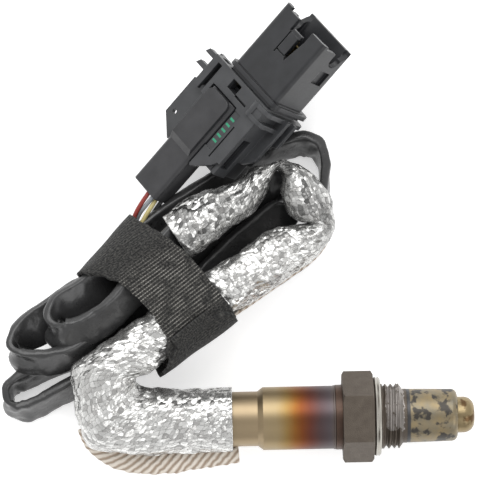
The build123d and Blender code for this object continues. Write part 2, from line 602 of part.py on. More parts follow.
def side_cuts(side, half_width):
    """Blind pocket, rounded mouth notch and set-back edge in one side wall of the shroud."""
    lip_end = SHROUD_FRONT + SHROUD_LIP + 1
    through = sorted((side * (half_width - SHROUD_WALL - 0.5), side * (half_width + 1)))
    pocket_rear = SHROUD_FRONT - SIDE_POCKET_SETBACK - SIDE_POCKET_LENGTH
    cuts = block((pocket_rear, pocket_rear + SIDE_POCKET_LENGTH),
                 sorted((side * (half_width - SIDE_POCKET_DEPTH), side * (half_width + 1))),
                 (SIDE_POCKET_TOP - SIDE_POCKET_HEIGHT, SIDE_POCKET_TOP))
    middle = SHROUD_FRONT - SIDE_NOTCH_DEPTH
    notch_top = SIDE_NOTCH_HEIGHT + SIDE_NOTCH_RADIUS
    notch_bottom = SIDE_NOTCH_HEIGHT - SIDE_NOTCH_RADIUS
    jaw = Plane.XZ.offset(-through[1]) * make_face(Polyline(
        (middle, notch_top), (lip_end, notch_top), (lip_end, notch_bottom - SIDE_NOTCH_FLARE),
        (middle + SIDE_NOTCH_FLARE + 0.6, notch_bottom - SIDE_NOTCH_FLARE),
        (middle + 0.6, notch_bottom), (middle, notch_bottom), close=True))
    cuts += extrude(jaw, through[1] - through[0])
    cuts += Pos(middle, sum(through) / 2, SIDE_NOTCH_HEIGHT) * Rot(90, 0, 0) * Cylinder(
        SIDE_NOTCH_RADIUS, through[1] - through[0])
    return cuts + block((SHROUD_FRONT - SIDE_EDGE_SETBACK, lip_end), through,
                        (SIDE_NOTCH_HEIGHT, SIDE_EDGE_TOP))


def connector_flanges():
    """Collar between the shroud and the body, with the flange that the mating half meets."""
    half_width = SHROUD_WIDTH / 2 + FLANGE_MARGIN
    bottom = -SHROUD_HEIGHT / 2 - FLANGE_DROP
    top = SHROUD_HEIGHT / 2 + 0.4
    collar = rounded_bar((BODY_FRONT + SHELL_CLEARANCE, SHROUD_REAR - SHELL_CLEARANCE),
                         (-half_width + 1.2, half_width - 1.2), (bottom + 1.2, top - 0.6), 2.0)
    collar += rounded_bar((FLANGE_FRONT - FLANGE_THICKNESS, FLANGE_FRONT),
                          (-half_width, half_width), (bottom, top), 2.6)
    for y, z in pin_places():
        hole = PIN_SIZE / 2 + SHELL_CLEARANCE
        collar -= block((BODY_FRONT - 1, SHROUD_REAR + 1), (y - hole, y + hole),
                        (z - hole, z + hole))
    return collar


def connector_body():
    """Housing behind the collar, hollow round the terminals."""
    half_width = BODY_WIDTH / 2
    body = rounded_bar((BODY_REAR, BODY_FRONT), (-half_width, half_width),
                       (BODY_BOTTOM, BODY_TOP), 1.0)
    body -= block((BODY_REAR - 1, BODY_REAR + BODY_STEP[0]), (-half_width - 1, half_width + 1),
                  (BODY_BOTTOM - 1, BODY_BOTTOM + BODY_STEP[1]))
    inner_bottom = -PIN_ROW_SPACING / 2 - 2.2
    inner_top = PIN_ROW_SPACING / 2 + 2.2
    body -= block((BODY_REAR + 1.6, BODY_FRONT - 1.6), (-half_width + 1.4, half_width - 1.4),
                  (inner_bottom, inner_top))
    for y, z in pin_places():
        hole = PIN_SIZE / 2 + SHELL_CLEARANCE
        body -= block((BODY_FRONT - 3, BODY_FRONT + 1), (y - hole, y + hole),
                      (z - hole, z + hole))
    # recess behind the bracket's window, and the well under its latch hole
    body -= block((WINDOW_SPAN[0] + 0.4, WINDOW_SPAN[1] - 0.4),
                  (-half_width - 1, -half_width + WINDOW_RECESS), WINDOW_HEIGHT)
    body -= block(LATCH_HOLE[0], LATCH_HOLE[1], (BODY_TOP - LATCH_HOLE_DEPTH, BODY_TOP + 1))
    body -= cover_envelope(SHELL_CLEARANCE)
    return body


def cover_envelope(margin):
    """Outer form of the wire cover, grown by a margin."""
    cover = rounded_bar((COVER_REAR, PANEL_FRONT + margin),
                        (COVER_RIGHT - margin, COVER_LEFT + margin),
                        (COVER_BOTTOM - margin, COVER_TOP + margin), COVER_CORNER_RADIUS)
    return cover


def wire_cover():
    """Wire cover with its raised panel, a sloped step behind it and a bore for each wire."""
    cover = cover_envelope(0)
    ramp = PANEL_RISE * 2.2
    side = Plane.XZ.offset(-COVER_LEFT + 0.5) * make_face(Polyline(
        (PANEL_REAR - ramp, COVER_TOP - 0.5), (PANEL_REAR, COVER_TOP + PANEL_RISE),
        (PANEL_FRONT, COVER_TOP + PANEL_RISE), (PANEL_FRONT, COVER_TOP - 0.5), close=True))
    panel = extrude(side, COVER_LEFT - COVER_RIGHT - 1.4)
    panel = fillet(panel.edges().filter_by(Axis.Z).group_by(Axis.X)[-1], PANEL_CORNER_RADIUS)
    cover += panel
    for (y, z), _ in WIRES.values():
        radius = WIRE_DIAMETER / 2 + WIRE_BORE_CLEARANCE
        bore = Plane(origin=(COVER_REAR - 1, y, z), z_dir=(1, 0, 0)) * Cylinder(
            radius, WIRE_BORE_DEPTH + 1, align=(Align.CENTER, Align.CENTER, Align.MIN))
        cover -= bore
    pocket_middle = (PANEL_REAR + PANEL_FRONT) / 2
    pocket = (RESISTOR_LENGTH / 2 + 0.4, RESISTOR_DIAMETER / 2 + 0.2)
    cover -= block((pocket_middle - pocket[0], pocket_middle + pocket[0]),
                   ((COVER_LEFT + COVER_RIGHT) / 2 - pocket[1],
                    (COVER_LEFT + COVER_RIGHT) / 2 + pocket[1]),
                   (COVER_TOP - 2 - RESISTOR_DIAMETER, COVER_TOP - 1.8))
    return cover


def trim_resistor():
    """Resistor that trims the sensor's signal, in its pocket under the panel."""
    middle = ((PANEL_REAR + PANEL_FRONT) / 2, (COVER_LEFT + COVER_RIGHT) / 2,
              COVER_TOP - 2 - RESISTOR_DIAMETER / 2 + 0.1)
    core = Cylinder(RESISTOR_DIAMETER / 2, RESISTOR_LENGTH)
    cap = Cylinder(RESISTOR_DIAMETER / 2 - 0.2, RESISTOR_LENGTH + 0.5)
    return Pos(*middle) * Rot(0, 90, 0) * (core + cap)


def mounting_bracket():
    """Slide-on bracket: deck, left wing with teeth, right wall, ribs and rails."""
    bracket = bracket_deck() + bracket_wing() + bracket_right_wall()
    for front, bottom in zip(RIB_FRONTS, RIB_BOTTOMS):
        bracket += bracket_rib(front, bottom)
    deck_top = BODY_TOP + SHELL_CLEARANCE + RAIL_THICKNESS
    knuckle = Plane(origin=(RIB_FRONTS[1] - RIB_THICKNESS, RIB_START - 0.5, deck_top),
                    z_dir=(1, 0, 0)) * Cylinder(
        0.9, RIB_FRONTS[0] - RIB_FRONTS[1] + RIB_THICKNESS,
        align=(Align.CENTER, Align.CENTER, Align.MIN))
    return bracket + knuckle


def bracket_deck():
    """Deck over the body with its slots, latch hole, recessed strip and pointed tail."""
    bottom = BODY_TOP + SHELL_CLEARANCE
    top = bottom + RAIL_THICKNESS
    outer_side = BODY_WIDTH / 2 + SHELL_CLEARANCE + RAIL_THICKNESS
    strip_left = COVER_RIGHT - COVER_GAP
    outline = make_face(Polyline(
        (BODY_FRONT, DECK_LEFT), (DECK_STEP, DECK_LEFT), (DECK_STEP, strip_left),
        (DECK_TAIL[0][0] + 0.4, strip_left), *DECK_TAIL, (DECK_TAIL[2][0], -outer_side),
        (BODY_FRONT, -outer_side), close=True))
    deck = Pos(0, 0, bottom) * extrude(outline, RAIL_THICKNESS)
    through = (bottom - 1, top + 1)
    deck -= block((COVER_REAR, PANEL_FRONT + COVER_GAP),
                  (COVER_RIGHT - COVER_GAP, COVER_LEFT + COVER_GAP), through)
    for x_range, y_range in (LONG_SLOT, LATCH_HOLE, CROSS_SLOT):
        deck -= block(x_range, y_range, through)
    deck -= block(*GROOVE, (top - GROOVE_DEPTH, top + 1))
    return deck - block(*STRIP, (top - STRIP_DEPTH, top + 1))


def bracket_wing():
    """Left wing plate with its toothed rail, joined to the deck by a wall and a post."""
    deck_bottom = BODY_TOP + SHELL_CLEARANCE
    wall_side = COVER_LEFT + COVER_GAP
    wall = block((-15, BODY_FRONT), (wall_side, wall_side + RAIL_THICKNESS),
                 (WING_TOP - 9, deck_bottom))
    step_place, step_depth = WING_STEP
    inner_edge = WING_EDGE - step_depth
    outline = make_face(Polyline(
        (WING_TIP, wall_side + 2), (WING_TIP + WING_CUT, WING_EDGE), (step_place, WING_EDGE),
        (step_place, inner_edge), (BODY_FRONT, inner_edge), (BODY_FRONT, wall_side),
        (WING_TIP + 1, wall_side), close=True))
    wing = Pos(0, 0, WING_TOP - RAIL_THICKNESS) * extrude(outline, RAIL_THICKNESS)
    wing -= Pos(*WING_HOLE, WING_TOP) * Cylinder(WING_HOLE_DIAMETER / 2, 4 * RAIL_THICKNESS)
    post = block((DECK_STEP + 1, BODY_FRONT), (DECK_LEFT - RAIL_THICKNESS, DECK_LEFT),
                 (WING_TOP - 1, deck_bottom + 0.5))
    wing += wall + post
    for index in range(2):
        start = TOOTH_START + index * TOOTH_PITCH
        tooth = make_face(Polyline(
            (start, inner_edge - 1), (start, inner_edge + TOOTH_LENGTH),
            (start + TOOTH_WIDTH, inner_edge + TOOTH_LENGTH - 0.8),
            (start + TOOTH_WIDTH, inner_edge - 1), close=True))
        wing += Pos(0, 0, WING_TOP - RAIL_THICKNESS) * extrude(tooth, RAIL_THICKNESS + 0.6)
    return wing


def bracket_right_wall():
    """Right wall with its window and the two stacked rails below it."""
    body_side = BODY_WIDTH / 2 + SHELL_CLEARANCE
    outer_side = body_side + RAIL_THICKNESS
    deck_top = BODY_TOP + SHELL_CLEARANCE + RAIL_THICKNESS
    wall = block((BODY_REAR, BODY_FRONT), (-outer_side, -body_side),
                 (RAIL_THICKNESS + 0.3, deck_top - RAIL_THICKNESS + 0.2))
    wall += block((RAIL_START, BODY_FRONT), (-outer_side, -body_side),
                  (BODY_BOTTOM + 1, RAIL_THICKNESS + 0.4))
    wall -= block(WINDOW_SPAN, (-outer_side - 1, -body_side + 1), WINDOW_HEIGHT)
    upper_rail = Pos(0, 0, UPPER_RAIL_TOP - RAIL_THICKNESS) * extrude(make_face(Polyline(
        (RAIL_START, -body_side), (RAIL_START, -outer_side - 0.4),
        (-8.6, UPPER_RAIL_EDGE), (RIB_FRONTS[0], UPPER_RAIL_EDGE),
        (RIB_FRONTS[0], -body_side), close=True)), RAIL_THICKNESS)
    lower_rail = Pos(0, 0, LOWER_RAIL_TOP - RAIL_THICKNESS) * extrude(make_face(Polyline(
        (-5.0, -body_side), (-2.5, LOWER_RAIL_EDGE), (RIB_FRONTS[0], LOWER_RAIL_EDGE),
        (RIB_FRONTS[0], -body_side), close=True)), RAIL_THICKNESS)
    return wall + upper_rail + lower_rail


def bracket_rib(front, bottom):
    """Rib that turns from the deck's edge round the body's right side."""
    body_side = BODY_WIDTH / 2 + SHELL_CLEARANCE
    deck_bottom = BODY_TOP + SHELL_CLEARANCE
    span = (front - RIB_THICKNESS, front)
    rib = rounded_bar(span, (RIB_EDGE, RIB_START + RIB_CORNER_RADIUS),
                      (bottom, deck_bottom + RAIL_THICKNESS + RIB_RISE), RIB_CORNER_RADIUS)
    cut = (front - RIB_THICKNESS - 1, front + 1)
    rib -= block(cut, (RIB_START, 1), (bottom - 1, deck_bottom + RAIL_THICKNESS + 2))
    return rib - block(cut, (-body_side, 1), (bottom - 1, deck_bottom))


def terminal_pins():
    """Square pins through the bulkhead into the socket."""
    pins = []
    for y, z in pin_places():
        half = PIN_SIZE / 2
        pins.append(block((BODY_FRONT - 2.9, SHROUD_REAR + BULKHEAD_THICKNESS + PIN_PROJECTION),
                          (y - half, y + half), (z - half, z + half)))
    return Compound(children=pins)


def terminal_lock():
    """Comb behind the body's front wall that keeps the terminals in place."""
    half = BODY_WIDTH / 2 - 1.4 - SHELL_CLEARANCE
    reach = PIN_ROW_SPACING / 2 + 2.2 - SHELL_CLEARANCE
    front = BODY_FRONT - 3.0 - SHELL_CLEARANCE
    comb = block((front - 2.4, front), (-half, half), (-reach, reach))
    return comb - cover_envelope(2 * SHELL_CLEARANCE)


def wire_seals():
    """Soft block round the wires in the body's rear."""
    half = BODY_WIDTH / 2 - 1.4 - SHELL_CLEARANCE
    reach = PIN_ROW_SPACING / 2 + 2.2 - SHELL_CLEARANCE
    start = BODY_REAR + 1.6 + SHELL_CLEARANCE
    block_seal = block((start, start + 5), (-half, half), (-reach, reach))
    return block_seal - cover_envelope(2 * SHELL_CLEARANCE)


def wire(name):
    """One wire, from its bore in the wire cover to the end of the lead tube."""
    (y, z), route = WIRES[name]
    start = connector_point(COVER_REAR + WIRE_BORE_DEPTH - SHELL_CLEARANCE, y, z)
    outside = connector_point(COVER_REAR - WIRE_STRAIGHT, y, z)
    return cord(name, [tuple(start), tuple(outside)] + route, WIRE_DIAMETER)


def build_all():
    """Every piece by name."""
    pieces = {
        "hex_shell": hex_shell(),
        "gasket_ring": gasket_ring(),
        "outer_protection_tube": outer_protection_tube(),
        "inner_protection_tube": inner_protection_tube(),
        "weld_collar": weld_collar(),
        "rear_sleeve": rear_sleeve(),
        "sensing_element": sensing_element(),
        "front_bush": stack_piece(STACK_FRONT, FRONT_BUSH_LENGTH),
        "powder_seal": stack_piece(POWDER_FRONT, POWDER_LENGTH),
        "rear_bush": stack_piece(REAR_BUSH_FRONT, REAR_BUSH_LENGTH),
        "press_ring": press_ring(),
        "contact_holder": contact_holder(),
        "contacts": contacts(),
        "seal_grommet": seal_grommet(),
        "heat_sleeve": heat_sleeve(),
        "sleeve_seam": sleeve_seam(),
        "lead_tube": cord("lead_tube", LEAD_TUBE_ROUTE, LEAD_TUBE_DIAMETER),
        "strap": strap(),
        "connector_shroud": in_place(connector_shroud()),
        "connector_collar": in_place(connector_flanges()),
        "connector_body": in_place(connector_body()),
        "wire_cover": in_place(wire_cover()),
        "mounting_bracket": in_place(mounting_bracket()),
        "terminal_pins": in_place(terminal_pins()),
        "terminal_lock": in_place(terminal_lock()),
        "wire_seals": in_place(wire_seals()),
        "trim_resistor": in_place(trim_resistor()),
    }
    for name in WIRES:
        pieces[name] = wire(name)
    return pieces


os.makedirs("parts", exist_ok=True)
for piece_name, piece in build_all().items():
    export_step(piece, f"parts/{piece_name}.step")
    print(f"{piece_name}: volume {piece.volume:.1f}")
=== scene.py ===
"""Studio scene of a wideband oxygen sensor with its bundled lead and plug connector.

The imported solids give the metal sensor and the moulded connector. This script dresses
them, and models the crinkled heat sleeve, the flat lead tube, the strap and the wires.
Sizes are written in millimetres and turned to metres where a mesh is made. The frame is
the part's own: +X along the sensor towards its tip, +Z up, the floor at FLOOR_LEVEL.
"""

import logging
import math
from contextlib import contextmanager
from dataclasses import dataclass, field
from typing import Callable, Iterator, Sequence, Union

import bmesh
import bpy
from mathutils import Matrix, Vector, noise

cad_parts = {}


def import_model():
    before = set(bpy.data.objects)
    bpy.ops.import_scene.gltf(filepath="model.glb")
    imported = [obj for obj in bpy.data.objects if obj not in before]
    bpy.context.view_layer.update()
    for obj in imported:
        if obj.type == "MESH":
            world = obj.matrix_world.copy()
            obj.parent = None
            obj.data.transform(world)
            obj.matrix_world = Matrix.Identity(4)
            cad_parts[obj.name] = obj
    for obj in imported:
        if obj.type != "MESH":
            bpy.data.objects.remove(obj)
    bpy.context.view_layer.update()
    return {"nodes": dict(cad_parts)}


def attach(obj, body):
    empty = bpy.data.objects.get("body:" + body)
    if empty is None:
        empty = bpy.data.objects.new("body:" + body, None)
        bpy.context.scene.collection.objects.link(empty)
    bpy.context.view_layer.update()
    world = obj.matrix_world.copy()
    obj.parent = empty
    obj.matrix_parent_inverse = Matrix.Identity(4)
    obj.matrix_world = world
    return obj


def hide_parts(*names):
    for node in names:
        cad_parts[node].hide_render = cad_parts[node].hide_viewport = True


LOG = logging.getLogger("oxygen_sensor")
MM = 0.001
FLOOR_LEVEL = -11.0
ROOT = "root"
# Vertices this near to each other, in metres, are one.
MERGE_DISTANCE = 1e-6
# A run shorter than this, in millimetres, has no length.
NO_RUN = 1e-9
# Where a Mix node in its RGBA mode has its two colours and its result.
MIX_COLOURS = slice(6, 8)
MIX_RESULT = 2

Pair = tuple[float, float]
Point = tuple[float, float, float]
Colour = tuple[float, float, float, float]
Cloth = Callable[[int, int], Pair]
Socket = bpy.types.NodeSocket
Input = Union[float, str, tuple[float, ...], Socket]


# ---------------------------------------------------------------- small tools
def hex_colour(text: str) -> Colour:
    """Linear RGBA of an sRGB hex colour such as "#8a7f6c".

    Args:
        text: Hash sign and six hexadecimal digits.

    Returns:
        Linear red, green and blue, and an alpha of 1.
    """
    parts = [int(text[start:start + 2], 16) / 255 for start in (1, 3, 5)]
    linear = [c / 12.92 if c <= 0.04045 else ((c + 0.055) / 1.055) ** 2.4 for c in parts]
    return (linear[0], linear[1], linear[2], 1.0)


def smooth_step(value: float) -> float:
    """Ease a value from 0 to 1 with no corner at either end."""
    clamped = min(1.0, max(0.0, value))
    return clamped * clamped * (3 - 2 * clamped)


def between(table: Sequence[Pair], where: float) -> float:
    """Read an eased value from a short table.

    Args:
        table: (place, value) pairs in rising order of place.
        where: the place that is asked for.

    Returns:
        The value there.
    """
    if where <= table[0][0]:
        return table[0][1]
    for (start, first), (end, last) in zip(table, table[1:]):
        if where <= end:
            return first + (last - first) * smooth_step((where - start) / (end - start))
    return table[-1][1]


def through_knots(knots: Sequence[Sequence[float]], step: float) -> list[list[float]]:
    """Rows of numbers on a smooth line through given rows.

    Args:
        knots: rows of numbers, the first three of them a place in millimetres.
        step: about how far apart the new rows are.

    Returns:
        Rows on a Catmull-Rom line through the knots, both ends included.
    """
    padded = [knots[0], *knots, knots[-1]]
    rows = []
    for first, second, third, fourth in zip(padded, padded[1:], padded[2:], padded[3:]):
        run = (Vector(third[:3]) - Vector(second[:3])).length
        count = max(1, round(run / step))
        for number in range(count):
            t = number / count
            rows.append([0.5 * (2 * b + (c - a) * t + (2 * a - 5 * b + 4 * c - d) * t ** 2
                                + (3 * b - a - 3 * c + d) * t ** 3)
                         for a, b, c, d in zip(first, second, third, fourth)])
    rows.append(list(knots[-1]))
    return rows


def spline_points(name: str, route: Sequence[Point], resolution: int) -> list[Vector]:
    """Points along a cord's smooth centreline.

    Args:
        name: a name for the curve while it is read.
        route: the spline's control points in millimetres.
        resolution: steps to each of its spans.

    Returns:
        The points of the line in millimetres.
    """
    curve = cord_curve(name, route, resolution)
    holder = bpy.data.objects.new(name, curve)
    mesh = bpy.data.meshes.new_from_object(holder)
    points = [vertex.co / MM for vertex in mesh.vertices]
    bpy.data.meshes.remove(mesh)
    bpy.data.objects.remove(holder)
    bpy.data.curves.remove(curve)
    return points


def cord_curve(name: str, route: Sequence[Point], resolution: int) -> bpy.types.Curve:
    """One open NURBS spline through a cord's route.

    Args:
        name: the curve's name.
        route: its control points in millimetres.
        resolution: steps to each of its spans.

    Returns:
        The curve, with no thickness.
    """
    curve = bpy.data.curves.new(name, "CURVE")
    curve.dimensions = "3D"
    curve.resolution_u = resolution
    spline = curve.splines.new("NURBS")
    spline.points.add(len(route) - 1)
    for point, place in zip(spline.points, route):
        point.co = (*[value * MM for value in place], 1.0)
    spline.order_u = 3
    spline.use_endpoint_u = True
    return curve


def even_points(points: Sequence[Vector], step: float) -> list[Vector]:
    """Walk along a line at even steps.

    Args:
        points: the line in millimetres.
        step: about how far apart the new points are.

    Returns:
        Points at one even spacing, ends included.
    """
    lengths = [0.0]
    for first, second in zip(points, points[1:]):
        lengths.append(lengths[-1] + (second - first).length)
    count = max(2, round(lengths[-1] / step))
    walked, index = [], 0
    for number in range(count + 1):
        target = lengths[-1] * number / count
        while index < len(points) - 2 and lengths[index + 1] < target:
            index += 1
        run = lengths[index + 1] - lengths[index]
        share = 0.0 if run < NO_RUN else (target - lengths[index]) / run
        walked.append(points[index].lerp(points[index + 1], min(1.0, share)))
    return walked


def line_length(points: Sequence[Vector]) -> float:
    """Length of a line of points."""
    return sum((second - first).length for first, second in zip(points, points[1:]))


def tangent_at(points: Sequence[Vector], index: int) -> Vector:
    """Direction of a line of points at one of them.

    Args:
        points: The line's points in order.
        index: Which of them.

    Returns:
        Unit direction from the point before to the point after.
    """
    before = points[max(0, index - 1)]
    after = points[min(len(points) - 1, index + 1)]
    return (after - before).normalized()


def circle(count: int) -> list[Pair]:
    """Cosine and sine of evenly spaced angles round a full turn."""
    angles = [2 * math.pi * number / count for number in range(count)]
    return [(math.cos(angle), math.sin(angle)) for angle in angles]


@contextmanager
def editing(mesh: bpy.types.Mesh) -> Iterator[bmesh.types.BMesh]:
    """A mesh opened for editing, and written back afterwards.

    Args:
        mesh: The mesh to edit in place.

    Yields:
        The opened mesh.
    """
    form = bmesh.new()
    form.from_mesh(mesh)
    yield form
    form.to_mesh(mesh)
    form.free()


def outward(mesh: bpy.types.Mesh) -> None:
    """Merge doubles and turn all faces outwards.

    Args:
        mesh: The mesh to mend in place.
    """
    with editing(mesh) as form:
        bmesh.ops.remove_doubles(form, verts=form.verts, dist=MERGE_DISTANCE)
        bmesh.ops.recalc_face_normals(form, faces=form.faces)


def close_ends(mesh: bpy.types.Mesh) -> None:
    """Cap the open ends of a skin, and turn its faces outwards.

    Args:
        mesh: The skin to close in place.
    """
    with editing(mesh) as form:
        bmesh.ops.holes_fill(form, edges=[edge for edge in form.edges if edge.is_boundary],
                             sides=0)
    outward(mesh)


def joined(name: str, *parts: bpy.types.Mesh) -> bpy.types.Mesh:
    """One mesh made of several.

    Args:
        name: Name of the new mesh.
        parts: The meshes to copy into it.

    Returns:
        The new mesh.
    """
    whole = bpy.data.meshes.new(name)
    with editing(whole) as form:
        for part in parts:
            form.from_mesh(part)
    return whole


def grid_mesh(name: str, rings: Sequence[Sequence[Vector]], cloth: Cloth) -> bpy.types.Mesh:
    """Skin of quads over closed rings of points, with a UV map in millimetres.

    Args:
        name: the mesh's name.
        rings: rings of equally many points, in millimetres.
        cloth: gives the UV place of a ring and column, in millimetres.

    Returns:
        The mesh in metres.
    """
    mesh = bpy.data.meshes.new(name)
    with editing(mesh) as form:
        uv_layer = form.loops.layers.uv.new("Cloth")
        grid = [[form.verts.new(point * MM) for point in ring] for ring in rings]
        around = len(rings[0])
        for row in range(len(rings) - 1):
            for column in range(around):
                following = (column + 1) % around
                face = form.faces.new((grid[row][column], grid[row][following],
                                       grid[row + 1][following], grid[row + 1][column]))
                face.smooth = True
                corners = ((row, column), (row, column + 1), (row + 1, column + 1),
                           (row + 1, column))
                for loop, corner in zip(face.loops, corners):
                    loop[uv_layer].uv = cloth(*corner)
    return mesh


def new_object(name: str, data: bpy.types.ID) -> bpy.types.Object:
    """Put a mesh, curve, light or camera into the scene as an object at the origin.

    Args:
        name: The object's name.
        data: The mesh, curve, light or camera that it shows.

    Returns:
        The new object.
    """
    piece = bpy.data.objects.new(name, data)
    bpy.context.scene.collection.objects.link(piece)
    return piece


def stand_in(name: str, data: bpy.types.ID, finish: "Finish", slot: str,
             node: str) -> bpy.types.Object:
    """Put a modelled piece in the place of its plain solid.

    Args:
        name: the piece's name.
        data: its mesh or curve.
        finish: its only finish.
        slot: not used.
        node: the solid that it replaces.

    Returns:
        The piece, riding on the only body.
    """
    piece = new_object(name, data)
    piece.data.materials.append(finish.material())
    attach(piece, ROOT)
    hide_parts(node)
    return piece


# ---------------------------------------------------------------- finishes
class Net:
    """Shader nodes of one material or world, added by short calls.

    What an input is given is a plain value to set, or a socket to link.
    """

    def __init__(self, owner: bpy.types.ID) -> None:
        """Start with an empty tree.

        Args:
            owner: The material or world whose nodes are made.
        """
        owner.use_nodes = True
        self.tree = owner.node_tree
        self.tree.nodes.clear()

    def put(self, entry: Socket, value: Input) -> None:
        """Link a socket to an input, or set its plain value.

        Args:
            entry: The socket to feed.
            value: Another node's socket, or a plain value.
        """
        if isinstance(value, Socket):
            self.tree.links.new(entry, value)
        else:
            entry.default_value = value

    def add(self, kind: str, *values: Input, **named: Input) -> bpy.types.Node:
        """Add one node.

        Args:
            kind: the node's type name, after "ShaderNode".
            values: what its first inputs are given, in their order.
            named: its attributes, in small letters, and what other inputs are given,
                with a capital letter and "_" for a space.

        Returns:
            The new node.
        """
        node = self.tree.nodes.new("ShaderNode" + kind)
        for name in filter(str.islower, named):
            setattr(node, name, named[name])
        for number, value in enumerate(values):
            self.put(node.inputs[number], value)
        for name, value in named.items():
            if not name.islower():
                self.put(node.inputs[name.replace("_", " ")], value)
        return node

    def calc(self, operation: str, *values: Input) -> Socket:
        """Result of a sum on numbers."""
        return self.add("Math", *values, operation=operation).outputs[0]

    def vector(self, operation: str, *values: Input) -> Socket:
        """Result of a sum on vectors."""
        node = self.add("VectorMath", *values, operation=operation)
        return node.outputs["Value" if operation == "DOT_PRODUCT" else "Vector"]

    def split(self, vector: Socket) -> bpy.types.NodeOutputs:
        """The X, Y and Z of a vector."""
        return self.add("SeparateXYZ", vector).outputs

    def noise(self, place: Socket, scale: float, detail: float, **more: float) -> Socket:
        """Strength of a noise. Its colour is the same node's other output."""
        return self.add("TexNoise", Vector=place, Scale=scale, Detail=detail,
                        **more).outputs["Fac"]

    def spread(self, value: Socket, low: Input, high: Input, to_low: float = 0.0,
               to_high: float = 1.0) -> Socket:
        """Map the range from low to high onto another, and clamp it there."""
        return self.add("MapRange", Value=value, From_Min=low, From_Max=high, To_Min=to_low,
                        To_Max=to_high).outputs[0]

    def mix(self, share: Input, first: Input, second: Input) -> Socket:
        """Blend two colours, each a socket or a hex colour.

        Args:
            share: Share of the second colour, from 0 to 1.
            first: Colour at a share of 0.
            second: Colour at a share of 1.

        Returns:
            The blended colour.
        """
        node = self.add("Mix", share, data_type="RGBA")
        for entry, colour in zip(node.inputs[MIX_COLOURS], (first, second)):
            self.put(entry, hex_colour(colour) if isinstance(colour, str) else colour)
        return node.outputs[MIX_RESULT]

    def wave(self, value: Socket, pitch: float, low: float, high: float = 1.0) -> Socket:
        """Sine wave of a length, as 0 below one level and 1 above the other."""
        turn = self.calc("MULTIPLY", value, 2 * math.pi / pitch)
        return self.spread(self.calc("SINE", turn), low, high)

    def product(self, first: Socket, *others: Socket) -> Socket:
        """All values multiplied.

        Args:
            first: The first value.
            others: The values that it is multiplied by.

        Returns:
            The product.
        """
        for other in others:
            first = self.calc("MULTIPLY", first, other)
        return first

    def inside(self, *tests: tuple[Socket, float, float]) -> Socket:
        """1 where every value lies between its lower and upper limit, and else 0.

        Args:
            tests: Each value with its lower and its upper limit.

        Returns:
            The answer as 1 or 0.
        """
        return self.product(*(
            self.calc(operation, value, limit) for value, low, high in tests
            for operation, limit in (("GREATER_THAN", low), ("LESS_THAN", high))))

    def ramp(self, share: Socket, stops: Sequence[tuple[float, Colour]]) -> Socket:
        """Colour of a ramp with these places and colours.

        Args:
            share: Place on the ramp, from 0 to 1.
            stops: Each stop's place and colour.

        Returns:
            The colour at that place.
        """
        node = self.add("ValToRGB", share)
        elements = node.color_ramp.elements
        while len(elements) < len(stops):
            elements.new(0.5)
        for element, (position, colour) in zip(elements, stops):
            element.position = position
            element.color = colour
        return node.outputs[0]


@dataclass(frozen=True)
class Finish:
    """A surface with one mottled colour, some grain in it and a fine bump."""

    name: str
    colour: str
    second_colour: str
    roughness: float = 0.5
    roughness_spread: float = 0.08
    metallic: float = 0.0
    grain_mm: float = 1.0
    bump_mm: float = 0.02
    sheen: float = 0.0
    edge_mm: float = 0.0
    edge_samples: int = 6
    grain_detail: float = 4.0
    spot_grains: float = 8.0

    def material(self) -> bpy.types.Material:
        """Build the material with its nodes.

        Returns:
            The material.
        """
        made = bpy.data.materials.new(self.name)
        net = Net(made)
        colour, height = self.pattern(net)
        rough = net.spread(height, 0.0, 1.0, self.roughness - self.roughness_spread,
                           self.roughness + self.roughness_spread)
        bump = net.add("Bump", Height=height, Distance=self.bump_mm * MM, Strength=1.0)
        if self.edge_mm:
            soft = net.add("Bevel", samples=self.edge_samples, Radius=self.edge_mm * MM)
            net.put(bump.inputs["Normal"], soft.outputs[0])
        shader = net.add("BsdfPrincipled", Base_Color=colour, Roughness=rough,
                         Normal=bump.outputs["Normal"], Metallic=self.metallic,
                         Sheen_Weight=self.sheen)
        net.add("OutputMaterial", Surface=shader.outputs["BSDF"])
        made.diffuse_color = hex_colour(self.colour)
        return made

    def place(self, net: Net) -> Socket:
        """Where the pattern is read: the object's own coordinates, in metres."""
        return net.add("TexCoord").outputs["Object"]

    def pattern(self, net: Net) -> tuple[Socket, Socket]:
        """Colour of the surface, and height of its bump from 0 to 1.

        Args:
            net: The material's nodes.

        Returns:
            The colour, and the height of the bump from 0 to 1.
        """
        place = self.place(net)
        grain = net.noise(place, 1 / (self.grain_mm * MM), self.grain_detail)
        spots = net.noise(place, 1 / (self.spot_grains * self.grain_mm * MM), 3.0)
        return net.mix(spots, self.colour, self.second_colour), grain


@dataclass(frozen=True)
class ClothFinish(Finish):
    """A finish that follows the cloth's own map, in millimetres."""

    def place(self, net: Net) -> Socket:
        """Where the pattern is read: the cloth's own map."""
        return net.add("UVMap", uv_map="Cloth").outputs["UV"]


